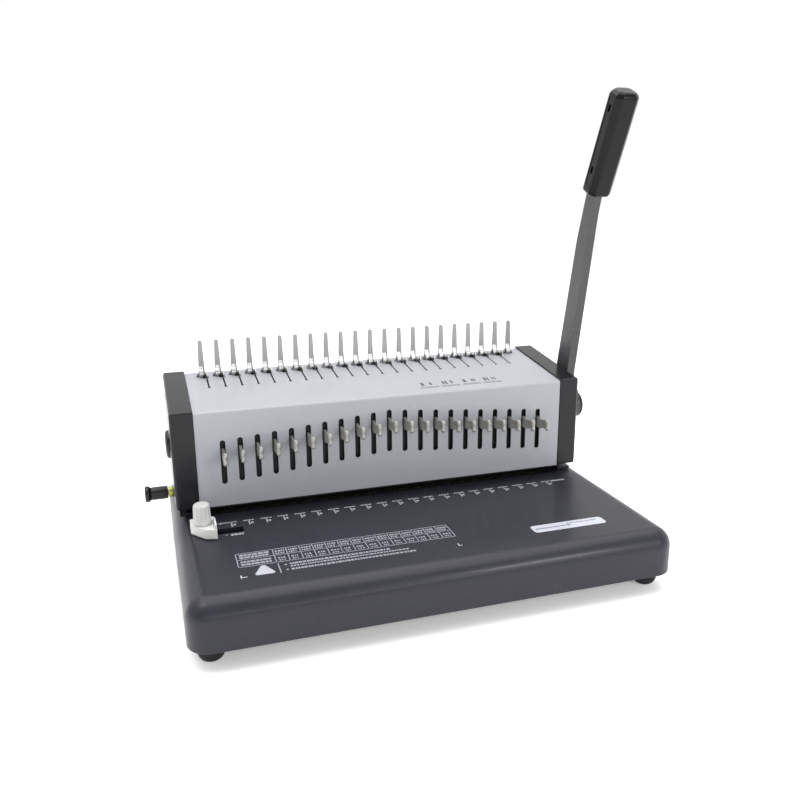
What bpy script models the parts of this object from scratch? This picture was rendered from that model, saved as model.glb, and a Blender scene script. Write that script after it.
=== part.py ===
"""Comb binding machine for punching paper and opening plastic comb spines.

All sizes are in millimetres in the machine's own frame and are scaled to metres by MM when a
mesh is made: X runs to the right along the row of punches, Y from the silver front panel to the
rear, Z up from the table. The root empty moves that frame so that the centre of the footprint
is the world origin.
"""
import math

import bmesh
import bpy
from mathutils import Matrix, Vector

MM = 0.001
OBJECT_NAME = "comb_binding_machine"

# The comb: holes 9/16 inch apart set every repeated feature.
PITCH = 14.2875
HOLE_COUNT = 21
MIDDLE_HOLE = (HOLE_COUNT + 1) / 2

GAP = 0.3
SHARP_ANGLE = math.radians(35)

# Base housing and feet.
BASE_LEFT = -187.0
BASE_RIGHT = 193.5
BASE_FRONT = -150.5
BASE_REAR = 116.0
BASE_RIM_Z = 14.8
DECK_Z = 51.3
BASE_WALL = 2.5
BASE_CORNER_RADIUS = 17.0
BASE_EDGE_RADIUS = 15.0
FOOT_LEFT_X = -170.5
FOOT_RIGHT_X = 178.0
FOOT_FRONT_Y = -129.0
FOOT_REAR_Y = 95.0

# Silver sheet cover: an upright front and a roof that rises to the rear.
COVER_HALF_WIDTH = 164.7
SHEET = 1.2
FRONT_BOTTOM_Z = 58.8
FRONT_TOP_Z = 140.8
ROOF_SLOPE = 0.126
ROOF_REAR_Y = 94.6
FRONT_SLOT_WIDTH = 4.6
FRONT_SLOT_LENGTH = 38.0
END_SLOT_TOP_Z = 116.1
SLOT_TOP_STEP = 1.264
HOOK_SLOT_SHIFT = -3.5
HOOK_SLOT_WIDTH = 1.8
HOOK_SLOT_FRONT_Y = 53.6
HOOK_SLOT_REAR_Y = 82.0

# Side covers and the frames they hide.
SIDE_INNER_X = 165.0
SIDE_OUTER_X = 183.7
SIDE_FRONT_Y = -0.5
SIDE_REAR_Y = 98.0
SIDE_BOTTOM_Z = 59.2
SIDE_RISE = 1.4
SIDE_WALL = 2.5
FRAME_INNER_X = 168.0
FRAME_OUTER_X = 171.0
FLANGE_OUTER_X = 181.0
BOLT_X = 175.0
BOLT_YS = (20.0, 80.0)

# Drive: shaft, pinions and racks.
SHAFT_Y = 21.5
SHAFT_Z = 110.8
SHAFT_RADIUS = 6.0
SHAFT_BORE = 6.13
MODULE = 1.5
TEETH = 14
PRESSURE_ANGLE = math.radians(20)
BACKLASH = 0.3
PITCH_RADIUS = MODULE * TEETH / 2
TOOTH_PITCH = math.pi * MODULE
PINION_ADDENDUM = 1.5
RACK_ADDENDUM = 1.2
DEDENDUM = 1.875
PINION_INNER_X = 157.0
PINION_OUTER_X = 165.0
RACK_WIDTH = 3.8

# Punches, the block that guides them and the die below the paper.
PUNCH_FRONT_Y = 4.4
PUNCH_REAR_Y = 7.4
PUNCH_HALF_WIDTH = 4.0
PUNCH_END_Z = 57.4
PUNCH_STEP = 0.6
CARRIAGE_BOTTOM_Z = 92.0
CARRIAGE_TOP_Z = 127.0
GUIDE_BOTTOM_Z = 56.6
GUIDE_TOP_Z = 74.0
DIE_BOTTOM_Z = 43.6

# Comb opener: fixed fingers and moving hooks.
FINGER_FRONT_Y = 83.0
FINGER_REAR_Y = 85.0
FINGER_TIP_Z = 184.3
FINGER_TIP_RADIUS = 1.8
HOOK_PLATE_BOTTOM_Z = 131.0
HOOK_PLATE_TOP_Z = 133.0
HOOK_THICKNESS = 1.2

# Lever.
LEVER_INNER_X = 184.9
LEVER_OUTER_X = 192.9
HUB_RADIUS = 12.2
GRIP_FOOT = (-4.5, 312.8)
GRIP_LEAN = math.radians(24.9)
GRIP_LOW = -5.0
GRIP_HIGH = 84.0
GRIP_SIZE = 20.0
TANG_HALF_WIDTH = 6.5
TANG_TOP = 55.0

# Margin stop: a rod that the knob turns, with an eccentric bar behind the throat.
MARGIN_Y = 34.0
MARGIN_Z = 64.2

# Side guide on the deck.
GUIDE_X = -165.3
GUIDE_Y = -34.0
GUIDE_SLOT_LEFT = -171.8
GUIDE_SLOT_RIGHT = -133.7
GUIDE_SLOT_FRONT = -38.8
GUIDE_SLOT_REAR = -29.2

# Chip tray.
TRAY_HALF_WIDTH = 149.0
TRAY_FRONT_Y = -12.0
TRAY_BACK_Y = 113.0
TRAY_BOTTOM_Z = 17.0
TRAY_TOP_Z = 34.5

# Return springs.
SPRING_X = 152.5
SPRING_Y = 11.4
SPRING_BOTTOM_Z = 74.3
SPRING_TOP_Z = 99.7

# The footprint's centre, from the margin knob to the grip and from the base's front to the
# chip tray's rear panel.
KNOB_END_X = -207.5
GRIP_OUTER_X = 199.0
TRAY_REAR_Y = 118.8
ROOT_SHIFT = (-(KNOB_END_X + GRIP_OUTER_X) / 2, -(BASE_FRONT + TRAY_REAR_Y) / 2, 0.0)

# A body's empty stands on its joint's axis.
BODY_AT = {
    "base": (0.0, 0.0, 0.0),
    "lever": (0.0, SHAFT_Y, SHAFT_Z),
    "punch_carriage": (0.0, PUNCH_FRONT_Y, CARRIAGE_BOTTOM_Z),
    "hook_plate": (0.0, HOOK_SLOT_REAR_Y, HOOK_PLATE_BOTTOM_Z),
    "margin_stop": (0.0, MARGIN_Y, MARGIN_Z),
    "side_guide": (GUIDE_X, GUIDE_Y, DECK_Z),
    "side_guide_knob": (GUIDE_X, GUIDE_Y, DECK_Z),
    "chip_tray": (0.0, TRAY_BACK_Y, TRAY_BOTTOM_Z),
}

# Colour, roughness and metallic value of each material.
MATERIALS = {
    "deck_paint": ((0.085, 0.088, 0.100), 0.55, 0.0),
    "silver_paint": ((0.52, 0.54, 0.56), 0.42, 0.25),
    "side_plastic": ((0.060, 0.062, 0.066), 0.50, 0.0),
    "lever_paint": ((0.095, 0.096, 0.100), 0.38, 0.1),
    "grip_plastic": ((0.022, 0.022, 0.026), 0.35, 0.0),
    "foot_rubber": ((0.012, 0.012, 0.013), 0.80, 0.0),
    "tool_steel": ((0.42, 0.42, 0.43), 0.38, 1.0),
    "nickel": ((0.55, 0.53, 0.47), 0.28, 1.0),
    "zinc": ((0.50, 0.48, 0.30), 0.35, 1.0),
    "black_plastic": ((0.018, 0.018, 0.020), 0.42, 0.0),
    "white_plastic": ((0.78, 0.78, 0.76), 0.45, 0.0),
    "spring_steel": ((0.30, 0.30, 0.31), 0.35, 1.0),
}

# Where a flat outline (u, v) lies, as the columns u, v and normal.
PLANES = {
    "XY": Matrix(((1, 0, 0), (0, 1, 0), (0, 0, 1))),
    "XZ": Matrix(((1, 0, 0), (0, 0, -1), (0, 1, 0))),
    "YZ": Matrix(((0, 0, 1), (1, 0, 0), (0, 1, 0))),
}
PLANE_NORMAL = {"XY": Vector((0, 0, 1)), "XZ": Vector((0, 1, 0)), "YZ": Vector((1, 0, 0))}

# Turns an upright cylinder or turned shape to lie along X.
ALONG_X = (0.0, math.pi / 2, 0.0)


# ---------------------------------------------------------------- scene and placing

def clear_scene():
    for obj in list(bpy.data.objects):
        bpy.data.objects.remove(obj, do_unlink=True)


def make_collection(name):
    collection = bpy.data.collections.new(name)
    bpy.context.scene.collection.children.link(collection)
    return collection


def make_material(name):
    colour, roughness, metallic = MATERIALS[name]
    material = bpy.data.materials.new(name)
    material.use_nodes = True
    shader = material.node_tree.nodes["Principled BSDF"]
    shader.inputs["Base Color"].default_value = (*colour, 1.0)
    shader.inputs["Roughness"].default_value = roughness
    shader.inputs["Metallic"].default_value = metallic
    material.diffuse_color = (*colour, 1.0)
    return material


clear_scene()
PART_COLLECTION = make_collection(OBJECT_NAME)
CUTTER_COLLECTION = make_collection("cutters")
MATERIAL_OF = {name: make_material(name) for name in MATERIALS}


def make_empty(name, parent, parent_at):
    empty = bpy.data.objects.new(name + "_axis", None)
    empty.empty_display_size = 0.02
    empty.parent = parent
    empty.location = (Vector(BODY_AT[name]) - Vector(parent_at)) * MM
    PART_COLLECTION.objects.link(empty)
    return empty


ROOT = bpy.data.objects.new("machine_origin", None)
ROOT.location = Vector(ROOT_SHIFT) * MM
PART_COLLECTION.objects.link(ROOT)
BODY = {}
for body_name in BODY_AT:
    if body_name == "side_guide_knob":
        BODY[body_name] = make_empty(body_name, BODY["side_guide"], BODY_AT["side_guide"])
    else:
        BODY[body_name] = make_empty(body_name, ROOT, (0.0, 0.0, 0.0))


def move_to(obj, collection):
    for other in list(obj.users_collection):
        other.objects.unlink(obj)
    collection.objects.link(obj)


def finish(obj, name, material, body="base", smooth=False):
    """Name a piece, give it its material and hang it on its body where it stands."""
    obj.name = name
    obj.data.name = name
    obj.data.materials.clear()
    obj.data.materials.append(MATERIAL_OF[material])
    if smooth:
        obj.data.shade_smooth()
        obj.data.set_sharp_from_angle(angle=SHARP_ANGLE)
    obj.parent = BODY[body]
    obj.location -= Vector(BODY_AT[body]) * MM
    move_to(obj, PART_COLLECTION)
    return obj


def as_tool(obj):
    """Make an object a hidden wire tool for a Boolean."""
    obj.display_type = "WIRE"
    obj.hide_render = True
    obj.parent = ROOT
    move_to(obj, CUTTER_COLLECTION)
    return obj


def boolean(obj, tool, operation, solver):
    modifier = obj.modifiers.new(operation.lower(), "BOOLEAN")
    modifier.operation = operation
    modifier.solver = solver
    modifier.object = as_tool(tool)


def cut(obj, *tools, solver="EXACT"):
    for tool in tools:
        boolean(obj, tool, "DIFFERENCE", solver)


def join(obj, *tools, solver="EXACT"):
    for tool in tools:
        boolean(obj, tool, "UNION", solver)


def bevel(obj, width, segments, angle=30):
    modifier = obj.modifiers.new("bevel", "BEVEL")
    modifier.width = width * MM
    modifier.segments = segments
    modifier.limit_method = "ANGLE"
    modifier.angle_limit = math.radians(angle)


def bevel_where(obj, test, width, segments):
    """Round the edges whose two ends pass the test, given in millimetres in the mesh."""
    mesh = bmesh.new()
    mesh.from_mesh(obj.data)
    bmesh.ops.dissolve_limit(mesh, angle_limit=math.radians(0.5), verts=mesh.verts,
                             edges=mesh.edges)
    edges = [edge for edge in mesh.edges if all(test(*(vert.co / MM)) for vert in edge.verts)]
    bmesh.ops.bevel(mesh, geom=edges, offset=width * MM, segments=segments, profile=0.5,
                    affect="EDGES", clamp_overlap=True)
    mesh.to_mesh(obj.data)
    mesh.free()


# ---------------------------------------------------------------- shapes

def mesh_object(mesh, name="shape"):
    data = bpy.data.meshes.new(name)
    mesh.to_mesh(data)
    mesh.free()
    obj = bpy.data.objects.new(name, data)
    PART_COLLECTION.objects.link(obj)
    return obj


def blocks(*corners):
    """One mesh of separate boxes, each given by its low and high corner."""
    mesh = bmesh.new()
    for low, high in corners:
        low = Vector(low) * MM
        high = Vector(high) * MM
        size = high - low
        place = Matrix.Translation((low + high) / 2) @ Matrix.Diagonal((*size, 1.0))
        bmesh.ops.create_cube(mesh, size=1.0, matrix=place)
    return mesh_object(mesh)


def rod(radius, low, high, centre, axis="X", sides=24, top_radius=None):
    """A cylinder or cone along X or Z from low to high, centred on the other two values."""
    bpy.ops.mesh.primitive_cone_add(
        vertices=sides, radius1=radius * MM, radius2=(top_radius or radius) * MM,
        depth=(high - low) * MM)
    obj = bpy.context.object
    middle = (low + high) / 2
    if axis == "X":
        obj.rotation_euler = ALONG_X
        obj.location = Vector((middle, *centre)) * MM
    else:
        obj.location = Vector((*centre, middle)) * MM
    return obj


def turned(profile, location, steps=24, closed=False):
    """Turn a profile of (radius, height) about its axis; it runs down the outer side."""
    mesh = bmesh.new()
    points = [mesh.verts.new((radius * MM, 0.0, height * MM)) for radius, height in profile]
    for first, second in zip(points, points[1:]):
        mesh.edges.new((first, second))
    if closed:
        mesh.edges.new((points[-1], points[0]))
    obj = mesh_object(mesh)
    screw = obj.modifiers.new("screw", "SCREW")
    screw.steps = steps
    screw.render_steps = steps
    screw.use_merge_vertices = True
    screw.merge_threshold = 0.00001
    obj.location = Vector(location) * MM
    return obj


def plate(loops, plane, low, high):
    """A flat outline with holes, as thick as low to high along the plane's normal."""
    curve = bpy.data.curves.new("outline", "CURVE")
    curve.dimensions = "2D"
    curve.fill_mode = "BOTH"
    curve.extrude = (high - low) / 2 * MM
    for loop in loops:
        spline = curve.splines.new("POLY")
        spline.points.add(len(loop) - 1)
        for point, (u, v) in zip(spline.points, loop):
            point.co = (u * MM, v * MM, 0.0, 1.0)
        spline.use_cyclic_u = True
    source = bpy.data.objects.new("outline", curve)
    PART_COLLECTION.objects.link(source)
    centre = PLANE_NORMAL[plane] * ((low + high) / 2 * MM)
    source.matrix_world = Matrix.Translation(centre) @ PLANES[plane].to_4x4()
    return welded(source)


def welded(source):
    """Turn a curve object into a mesh object with its caps welded on."""
    bpy.context.view_layer.update()
    evaluated = source.evaluated_get(bpy.context.evaluated_depsgraph_get())
    data = bpy.data.meshes.new_from_object(evaluated)
    mesh = bmesh.new()
    mesh.from_mesh(data)
    bmesh.ops.remove_doubles(mesh, verts=mesh.verts, dist=0.00001)
    bmesh.ops.recalc_face_normals(mesh, faces=mesh.faces)
    mesh.to_mesh(data)
    mesh.free()
    obj = bpy.data.objects.new("shape", data)
    obj.matrix_world = source.matrix_world.copy()
    PART_COLLECTION.objects.link(obj)
    bpy.data.objects.remove(source, do_unlink=True)
    return obj


def repeat(obj, offsets):
    """Copy an object's geometry to several offsets inside one mesh."""
    mesh = bmesh.new()
    for offset in offsets:
        before = len(mesh.verts)
        mesh.from_mesh(obj.data)
        mesh.verts.ensure_lookup_table()
        added = mesh.verts[before:]
        local = obj.matrix_world.to_3x3().inverted() @ (Vector(offset) * MM)
        bmesh.ops.translate(mesh, verts=added, vec=local)
    mesh.to_mesh(obj.data)
    mesh.free()
    return obj


def bake(obj):
    """Apply an object's modifiers so that copies can share the finished mesh."""
    bpy.context.view_layer.update()
    evaluated = obj.evaluated_get(bpy.context.evaluated_depsgraph_get())
    data = bpy.data.meshes.new_from_object(evaluated)
    tools = [modifier.object for modifier in obj.modifiers if modifier.type == "BOOLEAN"]
    obj.modifiers.clear()
    obj.data = data
    for tool in tools:
        bpy.data.objects.remove(tool, do_unlink=True)
    return obj


# ---------------------------------------------------------------- outlines

def rectangle(u_low, v_low, u_high, v_high):
    return [(u_low, v_low), (u_high, v_low), (u_high, v_high), (u_low, v_high)]


def arc(centre, radius, start, end, steps):
    """Points on an arc between two angles in degrees, both ends included."""
    points = []
    for step in range(steps + 1):
        angle = math.radians(start + (end - start) * step / steps)
        points.append((centre[0] + radius * math.cos(angle), centre[1] + radius * math.sin(angle)))
    return points


def circle(centre, radius, sides):
    return arc(centre, radius, 0, 360, sides)[:-1]


def round_rectangle(u_low, v_low, u_high, v_high, radius, steps):
    corners = (
        ((u_high - radius, v_high - radius), 0),
        ((u_low + radius, v_high - radius), 90),
        ((u_low + radius, v_low + radius), 180),
        ((u_high - radius, v_low + radius), 270),
    )
    points = []
    for centre, start in corners:
        points += arc(centre, radius, start, start + 90, steps)
    return points


def involute(angle):
    return math.tan(angle) - angle


def pinion_outline(centre):
    """A gear with one tooth pointing up and a gap facing the front rack."""
    base_radius = PITCH_RADIUS * math.cos(PRESSURE_ANGLE)
    root_radius = PITCH_RADIUS - DEDENDUM
    tip_radius = PITCH_RADIUS + PINION_ADDENDUM
    half_at_pitch = (TOOTH_PITCH / 2 - BACKLASH / 2) / 2 / PITCH_RADIUS
    radii = [root_radius, base_radius, PITCH_RADIUS, (PITCH_RADIUS + tip_radius) / 2, tip_radius]

    def half_angle(radius):
        pressure = math.acos(min(1.0, base_radius / max(radius, base_radius)))
        return half_at_pitch + involute(PRESSURE_ANGLE) - involute(pressure)

    points = []
    for tooth in range(TEETH):
        middle = math.pi / 2 + 2 * math.pi * tooth / TEETH
        rising = [(radius, middle - half_angle(radius)) for radius in radii]
        falling = [(radius, middle + half_angle(radius)) for radius in reversed(radii)]
        for radius, angle in rising + falling:
            points.append((centre[0] + radius * math.cos(angle),
                           centre[1] + radius * math.sin(angle)))
    return points


def rack_profile(tooth_centres):
    """Pairs of (distance along the rack, height above its pitch line towards the pinion)."""
    half_at_pitch = (TOOTH_PITCH / 2 - BACKLASH / 2) / 2
    half_root = half_at_pitch + DEDENDUM * math.tan(PRESSURE_ANGLE)
    half_tip = half_at_pitch - RACK_ADDENDUM * math.tan(PRESSURE_ANGLE)
    points = []
    for centre in tooth_centres:
        points += [(centre - half_root, -DEDENDUM), (centre - half_tip, RACK_ADDENDUM),
                   (centre + half_tip, RACK_ADDENDUM), (centre + half_root, -DEDENDUM)]
    return points


# ---------------------------------------------------------------- places of repeated features

HOLES = range(1, HOLE_COUNT + 1)


def hole_x(hole):
    return (hole - MIDDLE_HOLE) * PITCH


def steps_from_end(hole):
    """The punches are staggered: the steps grow from both ends to the middle."""
    return min(hole - 1, HOLE_COUNT - hole)


def slot_top(hole):
    return END_SLOT_TOP_Z + SLOT_TOP_STEP * steps_from_end(hole)


def roof_z(y):
    return FRONT_TOP_Z + ROOF_SLOPE * y


# ---------------------------------------------------------------- base

def base_shell():
    """The housing: an open-bottomed tray with a rounded rim, a die window and a rear mouth."""
    edge_steps = 4
    mesh = bmesh.new()
    rings = [(BASE_RIM_Z, 0.0)]
    for step in range(edge_steps + 1):
        angle = math.pi / 2 * step / edge_steps
        rings.append((DECK_Z - BASE_EDGE_RADIUS * (1 - math.sin(angle)),
                      BASE_EDGE_RADIUS * (1 - math.cos(angle))))
    loops = []
    for height, inset in rings:
        outline = round_rectangle(BASE_LEFT + inset, BASE_FRONT + inset,
                                  BASE_RIGHT - inset, BASE_REAR - inset,
                                  BASE_CORNER_RADIUS - inset, 4)
        loops.append([mesh.verts.new((u * MM, v * MM, height * MM)) for u, v in outline])
    for lower, upper in zip(loops, loops[1:]):
        for index in range(len(lower)):
            following = (index + 1) % len(lower)
            mesh.faces.new((lower[index], lower[following], upper[following], upper[index]))
    mesh.faces.new(loops[-1])
    obj = mesh_object(mesh)
    wall = obj.modifiers.new("wall", "SOLIDIFY")
    wall.thickness = BASE_WALL * MM
    wall.offset = -1.0
    wall.use_even_offset = True
    top = DECK_Z + 5
    under = DECK_Z - 2 * BASE_WALL
    bolt_places = [(side * BOLT_X, y) for side in (-1, 1) for y in BOLT_YS]
    cut(obj,
        blocks(((-158.5, 2.0, under), (158.5, 22.0, top)),
               ((GUIDE_SLOT_LEFT, GUIDE_SLOT_FRONT, under), (GUIDE_SLOT_RIGHT, GUIDE_SLOT_REAR, top)),
               ((-149.6, BASE_REAR - 5, 16.9), (149.6, BASE_REAR + 5, 35.2))),
        plate([circle(place, 2.5, 12) for place in bolt_places], "XY", under, top))
    return finish(obj, "base_shell", "deck_paint", smooth=True)


def base_plate():
    inset = BASE_WALL + GAP
    outline = round_rectangle(BASE_LEFT + inset, BASE_FRONT + inset,
                              BASE_RIGHT - inset, BASE_REAR - inset,
                              BASE_CORNER_RADIUS - inset, 4)
    obj = plate([outline], "XY", BASE_RIM_Z + GAP, BASE_RIM_Z + 1.8)
    return finish(obj, "base_plate", "side_plastic")


def feet():
    profile = [(0.0, 14.8), (8.2, 14.8), (9.6, 11.5), (10.0, 7.5), (9.3, 3.6), (7.6, 1.0),
               (5.8, 0.0), (0.0, 0.0)]
    places = {
        "foot_front_left": (FOOT_LEFT_X, FOOT_FRONT_Y, 0.0),
        "foot_front_right": (FOOT_RIGHT_X, FOOT_FRONT_Y, 0.0),
        "foot_rear_left": (FOOT_LEFT_X, FOOT_REAR_Y, 0.0),
        "foot_rear_right": (FOOT_RIGHT_X, FOOT_REAR_Y, 0.0),
    }
    for name, place in places.items():
        finish(turned(profile, place, steps=18), name, "foot_rubber", smooth=True)


def punch_holes(half_width, low, high):
    """Square-sided holes for the punches, a running gap wider than each."""
    return blocks(*[
        ((hole_x(hole) - half_width, PUNCH_FRONT_Y - 0.15, low),
         (hole_x(hole) + half_width, PUNCH_REAR_Y + 0.15, high))
        for hole in HOLES])


def die_block():
    """The die fills the deck's window and rests under the deck with a lip at each end."""
    lip_top = DECK_Z - BASE_WALL - 0.4
    top = DECK_Z - GAP
    outline = [(-165.0, DIE_BOTTOM_Z), (165.0, DIE_BOTTOM_Z), (165.0, lip_top), (158.0, lip_top),
               (158.0, top), (-158.0, top), (-158.0, lip_top), (-165.0, lip_top)]
    obj = plate([outline], "XZ", 2.5, 21.5)
    cut(obj, punch_holes(PUNCH_HALF_WIDTH + 0.2, DIE_BOTTOM_Z - 5, DECK_Z + 5))
    return finish(obj, "die_block", "tool_steel")


def punch_guide():
    end = FRAME_INNER_X - GAP
    obj = blocks(((-end, 3.0, GUIDE_BOTTOM_Z), (end, 17.5, GUIDE_TOP_Z)))
    cut(obj, punch_holes(PUNCH_HALF_WIDTH + 0.15, GUIDE_BOTTOM_Z - 5, GUIDE_TOP_Z + 5))
    return finish(obj, "punch_guide", "tool_steel")


# ---------------------------------------------------------------- frames and covers

def side_frame(name, side):
    """An upright plate with a bolted foot, bored for the shafts and slotted for the hook plate."""
    upright = [(4.0, 51.6), (94.2, 51.6), (94.2, 149.2), (4.0, 138.0)]
    openings = [circle((SHAFT_Y, SHAFT_Z), 9.2, 24), circle((MARGIN_Y, MARGIN_Z), 3.4, 12),
                rectangle(48.0, 130.6, 84.6, 133.4)]
    low, high = sorted((side * FRAME_INNER_X, side * FRAME_OUTER_X))
    obj = plate([upright] + openings, "YZ", low, high)
    low, high = sorted((side * (FRAME_OUTER_X - 1.5), side * FLANGE_OUTER_X))
    foot_outline = rectangle(low, 4.6, high, 93.6)
    holes = [circle((side * BOLT_X, y), 2.5, 12) for y in BOLT_YS]
    join(obj, plate([foot_outline] + holes, "XY", 52.0, 54.6))
    return finish(obj, name, "side_plastic")


def frame_bolts():
    number = 0
    for side in (-1, 1):
        for y in BOLT_YS:
            number += 1
            head = rod(4.2, 54.9, 57.9, (side * BOLT_X, y), "Z", sides=6)
            join(head, rod(2.2, 44.0, 56.0, (side * BOLT_X, y), "Z", sides=12))
            finish(head, f"frame_bolt_{number}", "zinc")


def top_cover():
    """One bent sheet: the slotted front, a small bend and the sloping roof."""
    roof_angle = math.degrees(math.atan(ROOF_SLOPE))
    outer_bend = 2.0
    inner_bend = outer_bend - SHEET
    bend_centre = (outer_bend, FRONT_TOP_Z - outer_bend + ROOF_SLOPE * outer_bend)
    drop = SHEET * math.sqrt(1 + ROOF_SLOPE ** 2)
    outline = [(0.0, FRONT_BOTTOM_Z)]
    outline += arc(bend_centre, outer_bend, 180, 90 + roof_angle, 4)
    outline += [(ROOF_REAR_Y, roof_z(ROOF_REAR_Y)), (ROOF_REAR_Y, roof_z(ROOF_REAR_Y) - drop)]
    outline += arc(bend_centre, inner_bend, 90 + roof_angle, 180, 4)
    outline += [(SHEET, FRONT_BOTTOM_Z)]
    obj = plate([outline], "YZ", -COVER_HALF_WIDTH, COVER_HALF_WIDTH)
    front_slots = []
    for hole in HOLES:
        left = hole_x(hole) - FRONT_SLOT_WIDTH / 2
        bottom = slot_top(hole) - FRONT_SLOT_LENGTH
        front_slots.append(round_rectangle(left, bottom, left + FRONT_SLOT_WIDTH, slot_top(hole),
                                           FRONT_SLOT_WIDTH / 2 - 0.01, 3))
    roof_slots = []
    for hole in HOLES:
        middle = hole_x(hole) + HOOK_SLOT_SHIFT
        roof_slots.append(rectangle(middle - HOOK_SLOT_WIDTH / 2, HOOK_SLOT_FRONT_Y,
                                    middle + HOOK_SLOT_WIDTH / 2, HOOK_SLOT_REAR_Y))
    for finger in range(HOLE_COUNT + 1):
        middle = hole_x(finger + 0.5)
        roof_slots.append(rectangle(middle - 5.0, FINGER_FRONT_Y - GAP,
                                    middle + 5.0, FINGER_REAR_Y + GAP))
    cut(obj, plate(front_slots, "XZ", -4.0, 4.0), plate(roof_slots, "XY", 138.0, 160.0))
    return finish(obj, "top_cover", "silver_paint", smooth=True)


def rear_cover():
    """A flat rear panel with a foot that turns forward along the deck."""
    top = roof_z(ROOF_REAR_Y) - 0.2
    outline = [(80.0, 51.6), (96.2, 51.6), (96.2, top), (95.0, top), (95.0, 52.8), (80.0, 52.8)]
    obj = plate([outline], "YZ", -COVER_HALF_WIDTH, COVER_HALF_WIDTH)
    return finish(obj, "rear_cover", "silver_paint")


def side_cover(name, side):
    """A moulded end cover, open towards the machine and below."""
    def roof(y):
        return roof_z(y) + SIDE_RISE

    outer = [(SIDE_FRONT_Y, SIDE_BOTTOM_Z), (SIDE_REAR_Y, SIDE_BOTTOM_Z),
             (SIDE_REAR_Y, roof(SIDE_REAR_Y)), (SIDE_FRONT_Y, roof(SIDE_FRONT_Y))]
    low, high = sorted((side * SIDE_INNER_X, side * SIDE_OUTER_X))
    obj = plate([outer], "YZ", low, high)
    outer_face = (side * SIDE_OUTER_X) - (low + high) / 2
    bevel_where(obj, lambda u, v, w: abs(w - outer_face) < 0.1, 3.5, 3)
    front = SIDE_FRONT_Y + SIDE_WALL
    rear = SIDE_REAR_Y - SIDE_WALL
    inner = [(front, SIDE_BOTTOM_Z - 10), (rear, SIDE_BOTTOM_Z - 10),
             (rear, roof(rear) - SIDE_WALL), (front, roof(front) - SIDE_WALL)]
    low, high = sorted((side * (SIDE_INNER_X - 5), side * (SIDE_OUTER_X - SIDE_WALL)))
    holes = [circle((SHAFT_Y, SHAFT_Z), 7.2, 24)]
    if side < 0:
        holes.append(circle((MARGIN_Y, MARGIN_Z), 3.6, 12))
    hole_low, hole_high = sorted((side * (SIDE_OUTER_X - 5), side * (SIDE_OUTER_X + 5)))
    cut(obj, plate([inner], "YZ", low, high), plate(holes, "YZ", hole_low, hole_high),
        solver="MANIFOLD")
    return finish(obj, name, "side_plastic", smooth=True)


# ---------------------------------------------------------------- comb opener

def finger_outline(middle):
    """One finger from its broad foot to its rounded tip, left side first."""
    tip = FINGER_TIP_Z - FINGER_TIP_RADIUS
    points = [(middle - 4.7, 149.9), (middle - 4.7, 153.4), (middle - 3.0, 155.6)]
    points += arc((middle, tip), FINGER_TIP_RADIUS, 175, 5, 4)
    points += [(middle + 3.0, 155.6), (middle + 4.7, 153.4), (middle + 4.7, 149.9)]
    return points


def finger_comb():
    """Twenty-two fingers on a bar that spans the side frames under the roof."""
    end = FRAME_INNER_X - GAP
    outline = [(end, 149.9), (end, 138.0), (-end, 138.0), (-end, 149.9)]
    for finger in range(HOLE_COUNT + 1):
        outline += finger_outline(hole_x(finger + 0.5))
    obj = plate([outline], "XZ", FINGER_FRONT_Y, FINGER_REAR_Y)
    return finish(obj, "finger_comb", "tool_steel")


def hook_plate():
    """The moving plate under the roof with its row of hooks and a rack down each side."""
    half = []
    for x, y in ((165.0, 60.0), (165.0, 64.0), (170.6, 64.0), (170.6, 70.0), (165.0, 70.0),
                 (165.0, 78.0), (170.6, 78.0), (170.6, 84.0), (165.0, 84.0), (165.0, 87.6)):
        half.append((x, y))
    outline = half + [(-x, y) for x, y in reversed(half)]
    obj = plate([outline], "XY", HOOK_PLATE_BOTTOM_Z, HOOK_PLATE_TOP_Z)
    hook = [(74.1, 131.8), (74.1, 151.2), (72.6, 152.4), (72.2, 154.8), (72.9, 156.6),
            (74.2, 156.8), (74.9, 155.0), (76.0, 154.0), (79.0, 153.8), (81.2, 151.4),
            (81.2, 131.8)]
    hooks = plate([hook], "YZ", -HOOK_THICKNESS / 2, HOOK_THICKNESS / 2)
    repeat(hooks, [(hole_x(hole) + HOOK_SLOT_SHIFT, 0.0, 0.0) for hole in HOLES])
    pitch_z = SHAFT_Z + PITCH_RADIUS
    first = SHAFT_Y - TOOTH_PITCH / 2
    teeth = rack_profile([first + TOOTH_PITCH * tooth for tooth in range(6)])
    rack = [(along, pitch_z - height) for along, height in teeth]
    rack += [(62.0, pitch_z + DEDENDUM), (62.0, HOOK_PLATE_TOP_Z - 0.5)]
    rack += [(teeth[0][0], HOOK_PLATE_TOP_Z - 0.5)]
    join(obj, hooks,
         plate([rack], "YZ", PINION_OUTER_X - RACK_WIDTH, PINION_OUTER_X - 0.2),
         plate([rack], "YZ", -PINION_OUTER_X + 0.2, -PINION_OUTER_X + RACK_WIDTH),
         solver="MANIFOLD")
    return finish(obj, "hook_plate", "nickel", "hook_plate")


# ---------------------------------------------------------------- punching

def carriage_outline():
    """The bar with a punch hanging from it below every hole."""
    points = [(-158.0, CARRIAGE_TOP_Z), (-158.0, CARRIAGE_BOTTOM_Z)]
    for hole in HOLES:
        end = PUNCH_END_Z + PUNCH_STEP * steps_from_end(hole)
        left = hole_x(hole) - PUNCH_HALF_WIDTH
        right = hole_x(hole) + PUNCH_HALF_WIDTH
        points += [(left, CARRIAGE_BOTTOM_Z), (left, end), (right, end),
                   (right, CARRIAGE_BOTTOM_Z)]
    return points + [(158.0, CARRIAGE_BOTTOM_Z), (158.0, CARRIAGE_TOP_Z)]


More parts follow.
